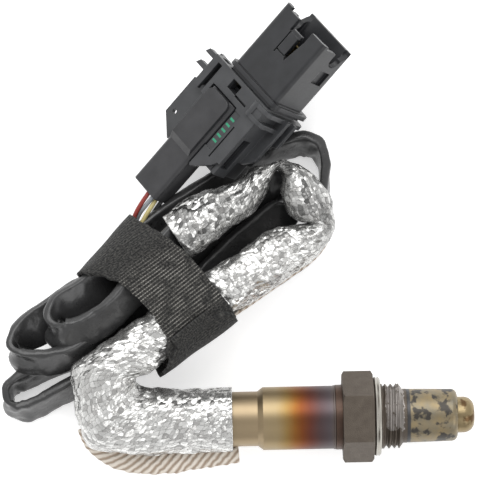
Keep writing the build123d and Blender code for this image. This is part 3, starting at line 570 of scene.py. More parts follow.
@dataclass(frozen=True)
class HeatTint(Finish):
    """Steel tube whose oxide colours change along the sensor, with fine drawing lines."""

    bands: tuple[tuple[float, str], ...] = ()
    stray_mm: float = 2.2
    stray_scale: float = 120.0
    line_stretch: Point = (6.0, 0.25, 0.25)

    def pattern(self, net: Net) -> tuple[Socket, Socket]:
        """Oxide colours along X, and fine rings round the tube.

        Args:
            net: The material's nodes.

        Returns:
            The colour, and the height of the bump from 0 to 1.
        """
        place = self.place(net)
        stray = net.noise(place, self.stray_scale, 3.0)
        shifted = net.calc("MULTIPLY_ADD", stray, self.stray_mm * MM, net.split(place)["X"])
        start, end = self.bands[0][0], self.bands[-1][0]
        middle = self.stray_mm / 2
        along = net.spread(shifted, (start + middle) * MM, (end + middle) * MM)
        tint = net.ramp(along, [((place_mm - start) / (end - start), hex_colour(colour))
                                for place_mm, colour in self.bands])
        lines = net.add("Mapping", Vector=place, Scale=self.line_stretch).outputs[0]
        return tint, net.noise(lines, 1 / (self.grain_mm * MM), 2.0)


@dataclass(frozen=True)
class Scorched(Finish):
    """Steel that the exhaust has stained: blotches of a third colour over the grain."""

    grain_detail: float = 5.0
    spot_grains: float = 6.0
    blotch_colour: str = "#2c241c"
    blotch_mm: float = 3.0
    blotch_share: float = 0.5
    blotch_edge: float = 0.08
    root_mm: float = -1000.0
    root_edge_mm: float = 0.3
    root_colour: str = "#484849"

    def pattern(self, net: Net) -> tuple[Socket, Socket]:
        """Dark blotches over two mottled colours, and a plain root.

        Args:
            net: The material's nodes.

        Returns:
            The colour, and the height of the bump from 0 to 1.
        """
        mottled, grain = super().pattern(net)
        place = self.place(net)
        blotch = net.noise(place, 1 / (self.blotch_mm * MM), 3.0, Roughness=0.5,
                           Distortion=0.25)
        stain = net.spread(blotch, self.blotch_share, self.blotch_share + self.blotch_edge)
        stained = net.mix(stain, mottled, self.blotch_colour)
        ahead = net.spread(net.split(place)["X"], (self.root_mm - self.root_edge_mm) * MM,
                           self.root_mm * MM)
        return net.mix(ahead, self.root_colour, stained), grain


@dataclass(frozen=True)
class WovenFoil(ClothFinish):
    """Aluminium foil bonded to woven glass: bright puckered cells, painted shade in the creases
    between them, and a painted dark reflection on the sleeve's last leg.
    """

    cell_mm: Pair = (1.35, 1.2)
    cell_chance: float = 0.5
    stray_mm: float = 2.6
    stray_scale: float = 0.22
    stray_range: Pair = (0.4, 0.6)
    # Painted shade: the creases between the cells are darkened towards this colour.
    crease_shade_colour: str = "#3c3b3a"
    crease_width: Pair = (0.01, 0.075)
    wrinkle_range: Pair = (0.4, 0.62)
    wrinkle_share: float = 0.45
    dome_share: float = 0.35
    facet_share: float = 1.3
    facet_range: Pair = (0.6, 1.7)
    # Painted reflection: past this place along the sleeve, cells picked at random are darkened
    # towards the colour below, standing in for the dark connector and tube mirrored in the foil.
    painted_reflection_from_mm: float = 106.0
    painted_reflection_over_mm: float = 14.0
    painted_reflection_colour: str = "#5f5f5e"

    def pattern(self, net: Net) -> tuple[Socket, Socket]:
        """Cells of the weave, painted shade in the creases between them, and a painted dark
        reflection on the last leg.

        Args:
            net: The material's nodes.

        Returns:
            The colour, and the height of the bump from 0 to 1.
        """
        place = self.place(net)
        stray = net.noise(place, self.stray_scale, 2.0)
        moved = net.vector("MULTIPLY_ADD", stray.node.outputs["Color"],
                           (self.stray_mm, self.stray_mm, 0.0), place)
        sized = net.add("Mapping", Vector=moved, Scale=(
            1 / self.cell_mm[0], 1 / self.cell_mm[1], 1.0)).outputs[0]
        cell, edge = [net.add("TexVoronoi", voronoi_dimensions="2D", feature=feature,
                              Vector=sized, Scale=1.0, Randomness=self.cell_chance).outputs
                      for feature in ("F1", "DISTANCE_TO_EDGE")]
        wrinkle = net.noise(place, 0.8, 4.0, Roughness=0.6, Distortion=0.4)
        # Painted shade in the creases: dark lines along the cells' edges, wider where the wrinkle
        # noise is high.
        crease = net.spread(edge["Distance"], 0.0,
                            net.spread(wrinkle, *self.wrinkle_range, *self.crease_width))
        chance = net.split(cell["Color"])
        patch = net.mix(chance["Z"], self.colour, self.second_colour)
        # Painted reflection on the last leg: random cells darkened, standing in for the dark
        # connector and tube mirrored in the foil.
        painted_reflection_share = net.spread(net.split(place)["X"], self.painted_reflection_from_mm,
                            self.painted_reflection_from_mm + self.painted_reflection_over_mm)
        with_painted_reflection = net.mix(net.product(painted_reflection_share, chance["Y"]), patch, self.painted_reflection_colour)
        foil = net.mix(crease, self.crease_shade_colour, with_painted_reflection)
        share = net.spread(stray, *self.stray_range,
                           *(self.facet_share * part for part in self.facet_range))
        facets = self.facets(net, cell, sized, share)
        domes = net.calc("MULTIPLY_ADD", cell["Distance"], -self.dome_share, facets)
        return foil, net.calc("MULTIPLY_ADD", wrinkle, self.wrinkle_share, domes)

    def facets(self, net: Net, cell: bpy.types.NodeOutputs, sized: Socket,
               share: Socket) -> Socket:
        """Tilt each cell its own way, as a flat of crushed foil lies.

        Args:
            net: the material's nodes.
            cell: the outputs of the pattern of cells.
            sized: the place in the pattern.
            share: how strongly the cells are tilted.

        Returns:
            Socket with the height over the cell.
        """
        chance = net.split(cell["Color"])
        offset = net.vector("SUBTRACT", sized, cell["Position"])
        tilt = net.add("CombineXYZ", X=chance["X"], Y=chance["Y"]).outputs[0]
        centred = net.vector("SUBTRACT", tilt, (0.5, 0.5, 0.0))
        slope = net.vector("DOT_PRODUCT", centred, offset)
        return net.calc("MULTIPLY_ADD", slope, share, 0.5)


@dataclass(frozen=True)
class Ribbed(ClothFinish):
    """Cloth with slanting ribs: painted shade in their valleys, and a paler top that is partly
    painted highlight.
    """

    rib_mm: float = 2.2
    rib_levels: Pair = (-1.0, 0.6)
    slant: float = 0.0
    stray_mm: float = 0.5
    stray_scale: float = 0.5
    thread_share: float = 0.3

    def pattern(self, net: Net) -> tuple[Socket, Socket]:
        """Ribs, coloured from painted shade in the valley to a paler top, partly painted
        highlight.

        Args:
            net: The material's nodes.

        Returns:
            The colour, and the height of the bump from 0 to 1.
        """
        place = self.place(net)
        thread = net.noise(place, 1 / self.grain_mm, 3.0)
        stray = net.noise(place, self.stray_scale, 2.0)
        parts = net.split(place)
        skew = net.calc("MULTIPLY_ADD", parts["Y"], self.slant, parts["X"])
        moved = net.calc("MULTIPLY_ADD", stray, 2 * self.stray_mm, skew)
        rib = net.wave(moved, self.rib_mm, *self.rib_levels)
        # Painted shade and highlight: the rib's valley takes the darker second colour and its top
        # the paler first colour.
        return (net.mix(rib, self.second_colour, self.colour),
                net.calc("MULTIPLY_ADD", thread, self.thread_share, rib))


@dataclass(frozen=True)
class WovenTape(ClothFinish):
    """Nylon hook-and-loop tape: a dark fuzz, and pale broken stitch lines on its top."""

    rib_mm: float = 0.96
    rib_share: float = 0.16
    dot_mm: float = 0.8
    fuzz_mm: float = 0.62
    fuzz_range: Pair = (0.44, 0.66)
    wear_range: Pair = (0.35, 0.6)
    pile_colour: str = "#41403d"
    lines_begin_mm: Pair = (-12.0, -5.0)
    lines_end_mm: Pair = (14.0, 11.0)

    def pattern(self, net: Net) -> tuple[Socket, Socket]:
        """Stitch lines over the fuzz.

        Args:
            net: The material's nodes.

        Returns:
            The colour, and the height of the bump from 0 to 1.
        """
        place = self.place(net)
        fuzz = net.noise(place, 1 / self.fuzz_mm, 2.0, Roughness=0.6)
        parts = net.split(place)
        stitches = net.product(
            net.wave(parts["Y"], self.rib_mm, 0.4), net.wave(parts["X"], self.dot_mm, -1.4),
            net.spread(parts["Y"], *self.lines_begin_mm),
            net.spread(parts["Y"], *self.lines_end_mm),
            net.spread(net.noise(place, 0.25, 2.0), *self.wear_range))
        pile = net.mix(net.spread(fuzz, *self.fuzz_range), self.colour, self.pile_colour)
        ribs = net.wave(parts["Y"], self.rib_mm, -1.0)
        return (net.mix(stitches, pile, self.second_colour),
                net.calc("MULTIPLY_ADD", ribs, self.rib_share, fuzz))


@dataclass(frozen=True)
class Smeared(Finish):
    """Steel with a smear of dry grey thread paste over a part of it."""

    along_mm: Pair = (1.4, 6.4)
    across_mm: Pair = (-3.2, 8.2)
    stray_mm: Pair = (3.0, 6.0)
    paste_mm: float = 2.2
    paste_level: float = 0.4
    paste: str = "#98938f"

    def pattern(self, net: Net) -> tuple[Socket, Socket]:
        """Paste over the plain pattern.

        Args:
            net: The material's nodes.

        Returns:
            The colour, and the height of the bump from 0 to 1.
        """
        colour, height = super().pattern(net)
        place = self.place(net)
        patch = net.noise(place, 1 / (self.paste_mm * MM), 5.0, Roughness=0.7)
        spread = net.vector("MULTIPLY_ADD", patch.node.outputs["Color"],
                            (self.stray_mm[0] * MM, self.stray_mm[1] * MM, 0.0), place)
        parts = net.split(spread)
        limits = [(parts[axis], *((edge + stray / 2) * MM for edge in edges))
                  for axis, edges, stray in zip("XY", (self.along_mm, self.across_mm),
                                                self.stray_mm)]
        covered = net.inside(*limits, (parts["Z"], 0.0, 1.0), (patch, self.paste_level, 1.0))
        return net.mix(covered, colour, self.paste), height


@dataclass(frozen=True)
class Ticked(Finish):
    """Moulding with a row of plain printed ticks in the connector's own frame."""

    origin_mm: Point = (-34.6, 85.7, 4.4)
    turn_degrees: Point = (-28.5, -14.0, 47.3)
    row_mm: Pair = (-12.6, -2.0)
    across_mm: Pair = (-3.7, -2.1)
    above_mm: Pair = (8.0, 28.0)
    tick_mm: float = 1.9
    tick_share: float = 0.35
    ink: str = "#2f8f6c"

    def pattern(self, net: Net) -> tuple[Socket, Socket]:
        """Ticks over the plain pattern.

        Args:
            net: The material's nodes.

        Returns:
            The colour, and the height of the bump from 0 to 1.
        """
        colour, height = super().pattern(net)
        turned = net.add("Mapping", vector_type="TEXTURE", Vector=self.place(net),
                         Location=tuple(value * MM for value in self.origin_mm),
                         Rotation=tuple(math.radians(value) for value in self.turn_degrees),
                         Scale=(MM, MM, MM))
        parts = net.split(turned.outputs[0])
        step = net.calc("FRACT", net.calc("DIVIDE", parts["X"], self.tick_mm))
        printed = net.inside((step, 0.0, self.tick_share), (parts["X"], *self.row_mm),
                             (parts["Y"], *self.across_mm), (parts["Z"], *self.above_mm))
        return net.mix(printed, colour, self.ink), height


# Sand-blasted stainless bar: a dull, warm grey with a fine tooth and little gloss.
BLASTED_STEEL = Smeared("blasted_steel", "#675f56", "#4f4740", 0.5, 0.1, 0.85, 0.28, 0.08,
                        edge_mm=0.22)
# Folded steel sheet for the sealing ring: clean and bright.
RING_STEEL = Finish("folded_steel", "#b4b1aa", "#98948b", 0.3, 0.08, 1.0, 0.5, 0.01)
# Drawn steel that the exhaust has turned khaki, with slate-coloured deposits.
SCORCHED_STEEL = Scorched("scorched_steel", "#98835a", "#656968", 0.42, 0.1, 0.85, 0.5, 0.02,
                          blotch_colour="#45423e", blotch_mm=2.7, blotch_share=0.51,
                          root_mm=8.3, edge_mm=0.3)
# The same steel at its hottest end: straw-coloured with brown shadows.
GOLDEN_STEEL = Scorched("golden_steel", "#978767", "#7d6f55", 0.36, 0.08, 1.0, 0.4, 0.015,
                        blotch_colour="#5e4a34", blotch_mm=3.0, blotch_share=0.56)
# Weld collar, burnt brown beside its weld.
BURNT_STEEL = Finish("burnt_steel", "#5a4438", "#453b36", 0.42, 0.08, 0.85, 0.8, 0.02)
# Drawn stainless tube with the oxide colours that a weld leaves, from straw to blue.
TINTED_STEEL = HeatTint("tinted_steel", "#a08f80", "#a08f80", 0.42, 0.05, 0.95, 0.5, 0.003, bands=(
    (-48.0, "#94846c"), (-34.0, "#9a896e"), (-29.0, "#988767"), (-26.2, "#8f7548"),
    (-23.7, "#86592c"), (-21.7, "#784426"), (-19.4, "#633b31"), (-16.6, "#534344"),
    (-14.0, "#544d50"), (-12.4, "#5e5550"),
))
# Aluminised glass cloth: mirror-bright foil broken into puckered cells.
SLEEVE_FOIL = WovenFoil("aluminised_cloth", "#e6e6e4", "#b2b1af", 0.25, 0.06, 0.82, 1.0, 0.36)
# Stitched edge of the glass cloth, where it shows uncoated.
# Its darker second colour is painted shade in the rib valleys; its pale first colour is partly
# painted highlight.
SELVEDGE_CLOTH = Ribbed("glass_cloth_edge", "#e2d9cd", "#a08d7b", 0.85, 0.05, 0.0, 0.3, 0.22,
                        rib_mm=2.3, slant=1.0, stray_mm=0.55)
# Flattened elastomer tube: satin, near black, with soft broad highlights.
TUBE_RUBBER = Finish("satin_elastomer", "#3e3e3e", "#262627", 0.29, 0.06, 0.0, 1.8, 0.12)
# Hook-and-loop tape: dull black nylon.
STRAP_NYLON = WovenTape("hook_and_loop_nylon", "#040404", "#a5a29b", 0.85, 0.08, 0.0, 1.0, 0.6,
                        sheen=0.06)
# Moulded glass-filled nylon: near black with a slight sheen and a spark-eroded grain.
MOULDED_NYLON = Finish("moulded_nylon", "#2a2b2e", "#0d0e10", 0.38, 0.08, 0.0, 0.5, 0.012,
                       edge_mm=0.28)
# The same nylon, a little greyer, for the connector's body.
GREYER_NYLON = Finish("moulded_nylon_greyer", "#424346", "#232427", 0.35, 0.08, 0.0, 0.6, 0.01,
                      edge_mm=0.28)
# The bracket's nylon, with its printed ticks.
TICKED_NYLON = Ticked("moulded_nylon_printed", "#454648", "#262729", 0.35, 0.08, 0.0, 0.6, 0.01,
                      edge_mm=0.28)
# Smooth polypropylene cover.
SMOOTH_COVER = Finish("moulded_polypropylene", "#3b3b3d", "#1c1c1e", 0.34, 0.05, 0.0, 0.6, 0.006,
                      edge_mm=0.3)
# Plated terminal brass.
PLATED_BRASS = Finish("plated_brass", "#c9b67c", "#b39f66", 0.28, 0.05, 1.0, 0.5, 0.004)
# Dense white ceramic.
STEATITE = Finish("steatite", "#e4dfd2", "#d5cfc0", 0.55, 0.05, 0.0, 0.6, 0.01)
# Pressed talc powder.
TALC = Finish("pressed_talc", "#8f8e88", "#7d7c76", 0.9, 0.04, 0.0, 0.4, 0.03)
# Seals of black silicone.
SILICONE = Finish("black_silicone", "#1d1d1e", "#262627", 0.6, 0.05, 0.0, 0.8, 0.01)
# Lacquered resistor body.
LACQUER = Finish("resistor_lacquer", "#6f8f9c", "#5f7f8c", 0.35, 0.05, 0.0, 0.8, 0.005)
# Smooth insulation of the four wires.
WIRE_INSULATION = {
    "wire_" + name: Finish(name + "_insulation", colour, second, 0.4, 0.05, 0.0, 0.6, 0.005)
    for name, colour, second in (
        ("red", "#8a2c22", "#7a241c"), ("grey", "#8d9196", "#7f8388"),
        ("yellow", "#c0b37c", "#ada069"), ("black", "#202022", "#29292b"))
}


# ---------------------------------------------------------------- soft parts
@dataclass
class HeatSleeve:
    """Aluminised cloth sleeve, folded twice, from the sensor to its open mouth.

    Each rib of the sleeve has the centre (x, y, z) of a ring, the half-chord (x, y) from
    there to the ring's right side, and the ring's half-height.
    """

    ribs: tuple[tuple[float, ...], ...] = (
        (-41.0, 0.0, 0.0, 0.0, 9.0, 8.9), (-50.0, -0.2, 0.0, 0.0, 9.0, 8.8),
        (-58.5, -0.2, 0.3, 1.5, 9.2, 8.3), (-65.0, 0.1, 0.8, 3.0, 9.4, 7.8),
        (-70.1, 0.9, 1.6, 4.9, 9.2, 7.4), (-74.0, 2.3, 2.6, 7.4, 8.6, 7.0),
        (-75.4, 6.3, 3.6, 8.3, 5.0, 6.6), (-76.1, 9.7, 4.4, 8.9, 2.2, 6.4),
        (-76.3, 12.8, 5.0, 9.4, -0.4, 6.2), (-74.2, 15.2, 5.4, 8.8, -2.3, 6.2),
        (-69.2, 18.3, 5.6, 6.4, -4.6, 6.1), (-63.2, 22.5, 5.6, 5.8, -4.8, 6.0),
        (-54.9, 28.3, 5.5, 5.1, -4.9, 6.0), (-44.9, 35.3, 5.4, 3.6, -5.7, 6.0),
        (-38.9, 38.5, 5.4, 3.7, -6.0, 6.0), (-33.2, 41.8, 5.4, 3.8, -5.8, 6.0),
        (-27.3, 45.8, 5.4, 4.2, -5.6, 5.8), (-22.4, 48.5, 5.3, 4.8, -4.7, 5.4),
        (-18.4, 51.0, 5.0, 4.6, -2.8, 4.7), (-15.6, 53.2, 4.4, 3.7, -0.9, 4.0),
        (-16.6, 55.0, 4.9, 5.1, 0.6, 4.9), (-17.9, 57.5, 5.2, 6.4, 1.4, 5.6),
        (-19.3, 60.6, 5.3, 6.6, 1.5, 5.7), (-20.7, 63.8, 5.2, 5.7, 1.5, 5.3),
        (-22.2, 66.6, 5.0, 4.0, 1.6, 4.8), (-24.1, 68.8, 4.4, 2.2, 1.9, 3.9),
        (-26.3, 70.0, 3.9, 1.2, 1.7, 3.2), (-28.2, 68.8, 4.6, 0.4, 2.4, 4.2),
        (-30.4, 66.7, 5.0, -0.7, 3.5, 5.0), (-33.3, 64.7, 5.1, -1.7, 4.4, 5.6),
        (-36.1, 61.7, 5.1, -1.0, 5.4, 5.8), (-40.5, 59.2, 5.0, -1.0, 6.0, 5.8),
        (-45.7, 56.7, 4.8, -1.8, 6.9, 6.0), (-51.1, 53.6, 4.6, -2.8, 7.0, 6.2),
        (-53.9, 51.6, 4.5, -3.3, 6.3, 6.3), (-55.4, 50.7, 4.4, -3.8, 6.0, 6.5),
    )
    wall: float = 0.9
    step: float = 0.4
    around: int = 110
    crumple: float = 0.8
    # Each noise has its pitch to a millimetre, its shift and its depth in millimetres.
    folds: tuple[tuple[float, Point, float], ...] = (
        (0.12, (0, 0, 0), 1.0), (0.36, (7, 3, 1), 0.5), (0.24, (4, 8, 2), 0.8),
        (1.1, (1, 9, 4), 0.18),
    )
    free_from_mm: float = 2.0
    free_over_mm: float = 10.0
    least_free: float = 0.3
    thinnest: float = 0.3
    lip_rows: int = 26
    skew_mm: float = 30.0

    def crumpled(self, point: Vector, outward_way: Vector, along: float) -> Vector:
        """Push a point of the smooth sleeve in or out, as crushed foil lies.

        Args:
            point: place on the smooth sleeve.
            outward_way: unit vector away from the middle.
            along: distance along the sleeve.

        Returns:
            The crumpled place.
        """
        free = smooth_step((along - self.free_from_mm) / self.free_over_mm)
        broad, middle, dents, fine = [noise.noise(point * pitch + Vector(shift)) * depth
                                      for pitch, shift, depth in self.folds]
        partly = self.least_free + (1 - self.least_free) * free
        return point + outward_way * self.crumple * (
            broad * free + middle * partly - abs(dents) * free + fine)

    def ring(self, row: Sequence[float], along: float, shrink: float) -> list[Vector]:
        """One ring of the sleeve.

        Args:
            row: its rib, as in ribs.
            along: distance along the sleeve.
            shrink: how far inside the outer skin it lies.

        Returns:
            Points from the right side over the top.
        """
        centre = Vector(row[:3])
        side = Vector((row[3], row[4], 0))
        width = side.length
        side = side / width * max(self.thinnest, width - shrink)
        upward = Vector((0, 0, max(self.thinnest, row[5] - shrink)))
        ways = [side * cosine + upward * sine for cosine, sine in circle(self.around)]
        return [self.crumpled(centre + way, way.normalized(), along) for way in ways]

    def build(self) -> bpy.types.Object:
        """Returns:
            The sleeve's object.
        """
        knots = through_knots(self.ribs, self.step)
        centres = [Vector(row[:3]) for row in knots]
        travel, lead = [0.0], [0.0]
        for first, second in zip(knots, knots[1:]):
            travel.append(travel[-1] + (Vector(second[:3]) - Vector(first[:3])).length)
            right, left = [(Vector((second[0] + turn * second[3], second[1] + turn * second[4]))
                            - Vector((first[0] + turn * first[3],
                                      first[1] + turn * first[4]))).length
                           for turn in (1, -1)]
            lead.append(lead[-1] + (left - right) / 2)
        reach = round(self.skew_mm / self.step)
        shear = []
        for index, value in enumerate(lead):
            span = lead[max(0, index - reach):index + reach + 1]
            shear.append(value - sum(span) / len(span))
        outer = [self.ring(row, place, 0.0) for row, place in zip(knots, travel)]
        lip = [self.ring(row, place, self.wall) for row, place in zip(knots, travel)]
        rows = lip[self.lip_rows::-1] + outer + lip[:-self.lip_rows:-1]
        order = (list(range(self.lip_rows, -1, -1)) + list(range(len(knots)))
                 + list(range(len(knots) - 1, len(knots) - self.lip_rows, -1)))

        def cloth(row: int, column: int) -> Pair:
            """Place of a vertex on the cloth laid flat.

            Args:
                row: The vertex's row along the skin.
                column: Its column round the skin.

            Returns:
                How far along the cloth and how far across it.
            """
            knot = order[row]
            angle = 2 * math.pi * column / self.around
            share = (1 + math.cos(angle)) / 2
            girth = math.pi * (Vector(knots[knot][3:5]).length + knots[knot][5])
            return (travel[knot] + shear[knot] * (1 - 2 * share),
                    (column / self.around - 0.25) * girth)

        mesh = grid_mesh("heat_sleeve_skin", rows, cloth)
        outward(mesh)
        sleeve = stand_in("heat_sleeve_skin", mesh, SLEEVE_FOIL, "foil", "heat_sleeve")
        length = line_length(centres)
        [value * MM for value in self.ribs[0][:3]]
        LOG.info("heat sleeve: %.0f mm long", length)
        return sleeve


@dataclass
class Selvedge:
    """Stitched edge of the sleeve's cloth: a rolled hem, and the seam of the second leg."""

    hem: tuple[Point, ...] = (
        (-39.4, -9.9, -3.6), (-47.0, -10.4, -3.8), (-54.0, -11.2, -4.2), (-61.0, -11.8, -4.6),
        (-68.0, -11.6, -4.6), (-74.0, -10.2, -4.2), (-78.6, -7.6, -3.4), (-81.6, -4.4, -2.2),
        (-82.6, -1.6, -1.0),
    )
    hem_half_width: tuple[Pair, ...] = (
        (0, 2.6), (8, 3.0), (20, 3.5), (32, 3.4), (40, 2.6), (48, 1.6),
    )
    seam: tuple[Point, ...] = (
        (-43.2, 27.0, 1.2), (-36.4, 31.2, 1.2), (-30.0, 35.5, 1.2), (-23.5, 39.9, 1.2),
        (-18.0, 43.4, 1.2), (-14.0, 48.0, 1.2), (-12.2, 52.0, 1.6), (-11.8, 56.0, 2.0),
    )
    seam_half_width: tuple[Pair, ...] = ((0, 0.5), (34, 0.5), (44, 0.2))
    step: float = 0.3
    around: int = 28
    resolution: int = 16
    pleat_mm: float = 2.2
    pleat_slant: float = 0.9
    pleat_power: float = 0.7
    pleat_rise: float = 0.07
    valley: float = 0.93
    wander: float = 0.12

    def roll(self, name: str, route: Sequence[Point],
             half_width: Sequence[Pair], flatness: float) -> bpy.types.Mesh:
        """A pleated roll of cloth along a line.

        Args:
            name: the mesh's name.
            route: the line's control points.
            half_width: half of its width by distance along it.
            flatness: its height over its width.

        Returns:
            The roll's mesh.
        """
        points = even_points(spline_points(name, route, self.resolution), self.step)
        rows = []
        for index, centre in enumerate(points):
            along = index * self.step
            side = tangent_at(points, index).cross(Vector((0, 0, 1))).normalized()
            width = between(half_width, along)
            ring = []
            for across, out in circle(self.around):
                phase = (along + across * width * self.pleat_slant) / self.pleat_mm
                pleat = abs(math.sin(math.pi * phase)) ** self.pleat_power
                wander = noise.noise(centre * 0.5 + Vector((across, 0, 2))) * self.wander
                grow = self.valley + self.pleat_rise * pleat + wander
                ring.append(centre + side * across * width * grow
                            + Vector((0, 0, out * flatness * width * grow)))
            rows.append(ring)

        def cloth(row: int, column: int) -> Pair:
            """Place of a vertex on the flat cloth, along it and across it."""
            across = math.cos(2 * math.pi * column / self.around)
            return (row * self.step, across * between(half_width, row * self.step))

        mesh = grid_mesh(name, rows, cloth)
        close_ends(mesh)
        return mesh

    def build(self) -> bpy.types.Object:
        """Model the hem and the seam as one piece.

        Returns:
            The selvedge's object.
        """
        mesh = joined("selvedge_roll", self.roll("hem", self.hem, self.hem_half_width, 0.62),
                      self.roll("seam", self.seam, self.seam_half_width, 1.0))
        return stand_in("selvedge_roll", mesh, SELVEDGE_CLOTH, "selvedge", "sleeve_seam")


@dataclass
class LeadTube:
    """Flattened elastomer tube round the wires, looped and held by the strap."""

    width: float = 11.4
    thickness: float = 4.0
    leans: tuple[Pair, ...] = (
        (0, 70), (20, 62), (32, 46), (52, 46), (62, 72), (80, 70), (98, 46), (118, 44),
        (130, 26), (160, 30), (176, 46), (238, 46), (256, 26), (300, 22), (322, 46), (340, 62),
        (425, 60), (440, 34), (466, 34), (478, 72), (515, 62),
    )
    step: float = 0.6
    around: int = 40
    route: tuple[Point, ...] = (
        (-49.9, 54.2, 4.8), (-58.8, 46.8, 6.4), (-67.2, 36.4, 7.6), (-75.2, 28.8, 7.8),
        (-82.6, 24.8, 7.8), (-87.9, 24.2, 8.0), (-90.2, 27.4, 7.8), (-88.6, 31.0, 7.2),
        (-82.0, 34.0, 6.0), (-75.2, 39.4, 3.2), (-67.4, 48.2, -1.2), (-58.7, 55.8, -3.9),
        (-47.7, 62.6, -5.2), (-36.5, 69.6, -5.2), (-25.0, 75.4, -4.9), (-16.6, 76.6, -4.9),
        (-13.2, 69.6, -4.9), (-15.2, 56.4, -5.2), (-18.4, 47.4, -5.4), (-28.0, 41.2, -5.4),
        (-39.2, 34.8, -5.0), (-52.3, 27.0, -3.9), (-65.0, 19.1, -3.9), (-77.5, 12.8, -5.2),
        (-89.6, 7.4, -5.4), (-97.5, 3.2, -5.4), (-102.0, 3.1, -5.4), (-103.9, 6.6, -5.4),
        (-102.2, 10.8, -5.4), (-88.7, 16.1, -5.4), (-78.1, 18.5, -5.2), (-68.4, 22.3, -3.9),
        (-56.6, 29.9, -3.9), (-47.1, 38.6, -4.4), (-39.3, 46.4, -5.2), (-30.5, 53.2, -5.4),
        (-25.3, 57.2, -5.4), (-23.6, 60.2, -5.4), (-26.2, 63.6, -5.4), (-30.7, 62.8, -5.4),
        (-40.0, 54.4, -5.4), (-49.5, 45.6, -4.6), (-58.9, 38.0, -3.9), (-69.9, 29.3, -1.6),
        (-77.9, 22.4, 0.6), (-86.0, 17.8, 2.6), (-94.2, 16.6, 3.0), (-100.2, 17.9, 2.8),
        (-101.4, 21.4, 2.2), (-98.4, 24.4, 1.6), (-93.8, 27.2, 0.8), (-88.4, 30.8, -0.6),
        (-80.6, 36.0, -1.8), (-71.3, 38.0, -2.4),
    )
    resolution: int = 16
    step_reach: int = 5
    edge_power: float = 0.7
    face_power: float = 0.55
    waist: float = 0.7
    # Each ripple has its pitch to a millimetre and its share; each bend pleats the tube.
    ripples: tuple[Pair, ...] = ((0.16, 0.6), (0.4, 0.15), (0.8, 0.12))
    ripple_mm: float = 0.7
    pleat_pitch: Pair = (0.36, 0.22)
    pleat_mm: float = 1.1
    full_bend: float = 1.1

    def section(self) -> list[Pair]:
        """Flattened ring: (across, out) pairs, thicker at its two folded edges.

        Returns:
            The ring's pairs in order round the tube.
        """
        pairs = []
        for cosine, sine in circle(self.around):
            across = math.copysign(abs(cosine) ** self.edge_power, cosine)
            out = math.copysign(abs(sine) ** self.face_power, sine)
            pinch = self.waist + (1 - self.waist) * abs(across) ** 4
            pairs.append((across * self.width / 2, out * self.thickness / 2 * pinch))
        return pairs

    def build(self) -> bpy.types.Object:
        """Returns:
            The tube's object.
        """
        points = even_points(
            spline_points("lead_tube_line", self.route, self.resolution), self.step)
        length = line_length(points)
        section = self.section()
        rows = []
        for index, centre in enumerate(points):
            forward = tangent_at(points, index)
            lean = math.radians(between(self.leans, index * self.step))
            wanted = Vector((0, math.sin(lean), math.cos(lean)))
            upward = (wanted - forward * wanted.dot(forward)).normalized()
            out_way = forward.cross(upward).normalized()
            before = tangent_at(points, max(0, index - self.step_reach))
            after = tangent_at(points, min(len(points) - 1, index + self.step_reach))
            bend = min(1.0, before.angle(after, 0.0) / self.full_bend)
            ring = []
            for across, out in section:
                point = centre + upward * across + out_way * out
                ripple = sum(noise.noise(point * pitch) * share
                             for pitch, share in self.ripples)
                pleat = noise.noise(Vector((index * self.step * self.pleat_pitch[0],
                                            across * self.pleat_pitch[1], 3)))
                ring.append(point + out_way * (
                    ripple * (1 if out >= 0 else -1) * self.ripple_mm
                    + pleat * self.pleat_mm * bend))
            rows.append(ring)
        mesh = grid_mesh("lead_tube_skin", rows,
                         lambda row, column: (row * self.step, column * 0.6))
        close_ends(mesh)
        tube = stand_in("lead_tube_skin", mesh, TUBE_RUBBER, "tubing", "lead_tube")
        [value * MM for value in self.route[0]]
        LOG.info("lead tube: %.0f mm long", length)
        return tube


